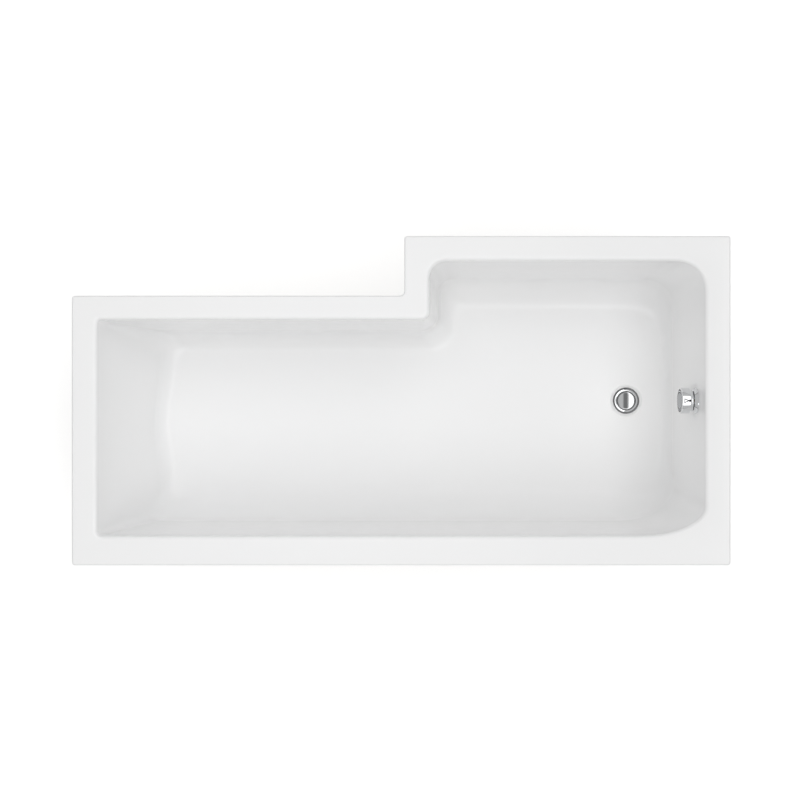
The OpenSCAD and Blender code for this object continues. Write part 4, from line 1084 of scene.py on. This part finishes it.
sheath_r, sheath_bend_r, sheath_steps = 3.0, 0.118, 90
sheath_low, sheath_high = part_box("cable_sheath")
sheath_y = (sheath_low.y + sheath_high.y) / 2
sheath_turn_x = sheath_high.x - sheath_r * mm * cos(pi / 8)
sheath_z = sheath_low.z + sheath_r * mm * cos(pi / 8)
sheath_rise = sheath_high.z - sheath_z - sheath_bend_r
sheath_len = sheath_turn_x - sheath_bend_r - sheath_low.x + sheath_bend_r * pi / 2 + sheath_rise
sheath_side = [
    (sheath_r, sheath_len / mm * k / sheath_steps, 0.0) for k in range(sheath_steps + 1)
]
sheath = turned([(0.0, 0.0, 0.0)] + sheath_side + [(0.0, sheath_len / mm, 0.0)], 20)
laid(sheath, sheath_y, sheath_low.x, sheath_z, sheath_turn_x, sheath_bend_r)
stands_for(into_scene("cable_sheath_extruded", sheath, black_plastic, sharp=60.0), "cable_sheath")
eased("cable_glands_moulded", "cable_glands", black_plastic, 0.0004)

# ---- Overflow face ----
# A chromed brass ring covers the hole in the tub's wall, and two screws through its bosses clamp
# it to the housing behind. It is turned, and four spokes carry the hub that the shaft turns in.
face = turned([
    (33.0, 0.0, 0.0), (34.0, 1.0, 0.5), (33.5, 2.8, 0.8), (30.2, 8.3, 3.0), (28.7, 10.4, 0.8),
    (27.4, 11.0, 0.5), (24.0, 11.0, 0.5), (24.0, 0.0, 0.2),
], 128, closed=True)
face_hub = turned([
    (4.1, 0.0, 0.2), (8.0, 0.0, 0.2), (8.0, 6.0, 0.8), (4.1, 6.0, 0.3),
], 48, closed=True)
spokes = None
for turn in (0, 90, 180, 270):
    spoke = block((7.0 * mm, -3.0 * mm, 0.05 * mm), (25.0 * mm, 3.0 * mm, 3.9 * mm), 0.0006)
    moved(spoke, Matrix.Rotation(radians(turn), 4, "Z"))
    spokes = spoke if spokes is None else joined(spokes, spoke)
face = fused(fused(face, spokes), face_hub)
screw_ring, boss_top = 18.0, 4.0
for side in (-1, 1):
    at_screw = Matrix.Translation((0.0, side * screw_ring * mm, 0.0))
    boss = moved(rod(5.5, 0.1, boss_top, 0.5), at_screw)
    screw_hole = moved(rod(2.8, -2.0, 8.0), at_screw)
    face = fused(fused(face, boss), screw_hole, "DIFFERENCE")
stands_for(into_scene("overflow_face_turned", moved(face, at_overflow), chrome), "overflow_face")

# ---- Overflow knob ----
# The knob is a chromed brass cup that stands off the face by a narrow ring slot, through which
# the water runs. It is turned from bar, and a plain triangle is cut in its rim to show its turn.
knob_r = 34.0
knob = turned([
    (0.0, 44.7, 0.0), (20.0, 44.65, 0.0), (31.0, 44.5, 1.0), (33.3, 44.1, 0.6), (knob_r, 43.0, 0.6),
    (knob_r, 21.3, 0.9), (32.8, 19.7, 0.6), (28.5, 19.1, 0.9), (27.5, 18.1, 0.8), (27.5, 13.2, 0.4),
    (24.0, 13.2, 0.4), (24.0, 38.7, 1.5), (8.0, 38.7, 1.0), (8.0, 17.7, 0.4), (0.0, 17.7, 0.0),
], 160)
mark_z, mark_len, mark_w, mark_depth, mark_line = 24.7, 15.0, 13.0, 1.4, 2.1
mark_end = mark_z + mark_len
mark = bmesh.new()
mark_base = mark.faces.new([
    mark.verts.new(((knob_r - mark_depth) * mm, across * mm, height * mm))
    for height, across in ((mark_z, 0.0), (mark_end, -mark_w / 2), (mark_end, mark_w / 2))
])
raised = bmesh.ops.extrude_face_region(mark, geom=[mark_base])["geom"]
raised_points = [part for part in raised if isinstance(part, bmesh.types.BMVert)]
bmesh.ops.translate(mark, vec=(4 * mm, 0, 0), verts=raised_points)
bmesh.ops.recalc_face_normals(mark, faces=mark.faces)
# The mark's walls and an outline on its floor are painted dark as shade, and its middle is chromed
# like the rest
painted_shade_faces = [f for f in mark.faces if abs(f.normal.x) < 0.5]
mark_floor = min(mark.faces, key=lambda f: f.calc_center_median().x)
painted_shade_faces += bmesh.ops.inset_individual(
    mark, faces=[mark_floor], thickness=mark_line * mm, use_even_offset=True
)["faces"]
for painted_shade_face in painted_shade_faces:
    painted_shade_face.material_index = 1
to_side = Matrix.Rotation(pi / 2, 4, "Y")
at_grub = Matrix.Translation((0.0, 0.0, mark_z * mm)) @ to_side
grub_hole = moved(turned([
    (0.0, 0.0, 0.0), (2.06, 0.0, 0.0), (2.06, 31.2, 0.0), (3.6, 34.4, 0.0), (0.0, 34.4, 0.0),
], 32), at_grub)
# The grub hole's walls are painted dark too: painted shade in the hole
for wall_of_hole in grub_hole.faces:
    wall_of_hole.material_index = 1
shaft_hole = rod(4.06, 10.0, 37.7)
for tool in (mark, grub_hole, shaft_hole):
    knob = fused(knob, tool, "DIFFERENCE")
# This dark finish is the grub screw's own blackened steel, and painted shade on the knob's mark and
# hole
black_steel_and_shade = Finish("black_steel_and_painted_shade", Metallic=0.6)
oil = black_steel_and_shade.noise(900.0, 2.0)
black_steel_and_shade.shown(
    Base_Color=black_steel_and_shade.blend(oil, (0.03, 0.03, 0.033), (0.09, 0.09, 0.095)),
    Roughness=0.4 + 0.2 * oil,
)
moved(knob, at_overflow)
stands_for(into_scene("overflow_knob_turned", knob, chrome, black_steel_and_shade), "overflow_knob")

# ---- Knob's grub screw, shaft and cam ----
# A blackened steel grub screw with a hexagon socket locks the knob on the flat of its turned brass
# shaft. Behind the wall the shaft carries a moulded white cam, which pulls the wire.
grub = turned([
    (0.0, 4.06, 0.0), (1.2, 4.06, 0.1), (2.0, 4.8, 0.1), (2.0, 8.0, 0.2), (0.0, 8.0, 0.0),
], 24)
socket = turned([(0.0, 6.2, 0.0), (1.15, 6.2, 0.0), (1.15, 9.0, 0.0), (0.0, 9.0, 0.0)], 6)
grub = moved(fused(grub, socket, "DIFFERENCE"), at_overflow @ at_grub)
stands_for(into_scene("knob_grub_screw_socket", grub, black_steel_and_shade), "knob_grub_screw")

house_back = -43.0
shaft = rod(4.0, house_back + 5, 34.7, 0.5)
flat = block((2.9 * mm, -5 * mm, 15 * mm), (6 * mm, 5 * mm, 36 * mm), 0.0001)
shaft = fused(shaft, flat, "DIFFERENCE")
stands_for(into_scene("knob_shaft_turned", moved(shaft, at_overflow), brass), "knob_shaft")
eased("cable_cam_moulded", "cable_cam", white_plastic, 0.0005)

# ---- Overflow screws, washer and housing ----
# Two zinc plated pan head screws clamp the face to a moulded white housing behind the tub's wall,
# and a black rubber washer seals the housing there.
face_screws = []
for side in (-1, 1):
    screw = pan_screw(1.9, 4.5, 2.5, house_back + 4, 1.4, -8.0, tip=3.0)
    on_boss = Matrix.Translation((0.0, side * screw_ring * mm, boss_top * mm))
    face_screws.append(moved(screw, on_boss))
screw_pair = moved(joined(*face_screws), at_overflow)
stands_for(into_scene("face_screws_threaded", screw_pair, bright_zinc), "face_screws")
washer("overflow_washer", "overflow_gasket", 26.0, 35.0, -9.0, -6.0, at_overflow)
eased("overflow_housing_moulded", "overflow_housing", white_plastic, 0.0006)

# ---- Overflow hose and its nuts ----
# The overflow drains into the waste body through a ribbed polypropylene hose. Plain cuffs at its
# ends push into the ports, and round white nuts with grips, moulded too, hold them.
hose_r, hose_rib_h, hose_bore_r, hose_cuff_r = 16.5, 2.0, 12.7, 15.5
hose_bend_r, rib_pitch, cuff_len = 0.1, 5.0, 21.0
hose_low, hose_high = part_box("overflow_hose")
hose_cos = cos(pi / 8)
hose_turn_x = hose_high.x - hose_r * mm * hose_cos
hose_z = hose_low.z + hose_r * mm * hose_cos
hose_rise = hose_high.z - hose_z - hose_bend_r
hose_len = (hose_turn_x - hose_bend_r - hose_low.x + hose_bend_r * pi / 2 + hose_rise) / mm
rib_count = int((hose_len - 2 * cuff_len) / rib_pitch)
rib_start = (hose_len - rib_count * rib_pitch) / 2
hose_groove_r = hose_r - hose_rib_h
section = [(hose_bore_r, 0.0, 0.0), (hose_cuff_r, 0.0, 0.4), (hose_cuff_r, rib_start - 1.0, 0.3)]
for k in range(rib_count):
    foot = rib_start + k * rib_pitch
    section += [
        (hose_r, foot + 0.5, 0.7), (hose_r, foot + 2.2, 0.7),
        (hose_groove_r, foot + 2.9, 0.6), (hose_groove_r, foot + 4.8, 0.6),
    ]
section += [
    (hose_cuff_r, hose_len - rib_start + 1.0, 0.3), (hose_cuff_r, hose_len, 0.4),
    (hose_bore_r, hose_len, 0.0),
]
bore_steps = 60
section += [(hose_bore_r, hose_len * (1 - k / bore_steps), 0.0) for k in range(1, bore_steps)]
hose = turned(section, 40, closed=True)
laid(hose, (hose_low.y + hose_high.y) / 2, hose_low.x, hose_z, hose_turn_x, hose_bend_r)
stands_for(into_scene("overflow_hose_ribbed", hose, white_plastic, sharp=60.0), "overflow_hose")
eased("hose_nut_low_moulded", "hose_nut_low", white_plastic, 0.0004)
eased("hose_nut_top_moulded", "hose_nut_top", white_plastic, 0.0004)
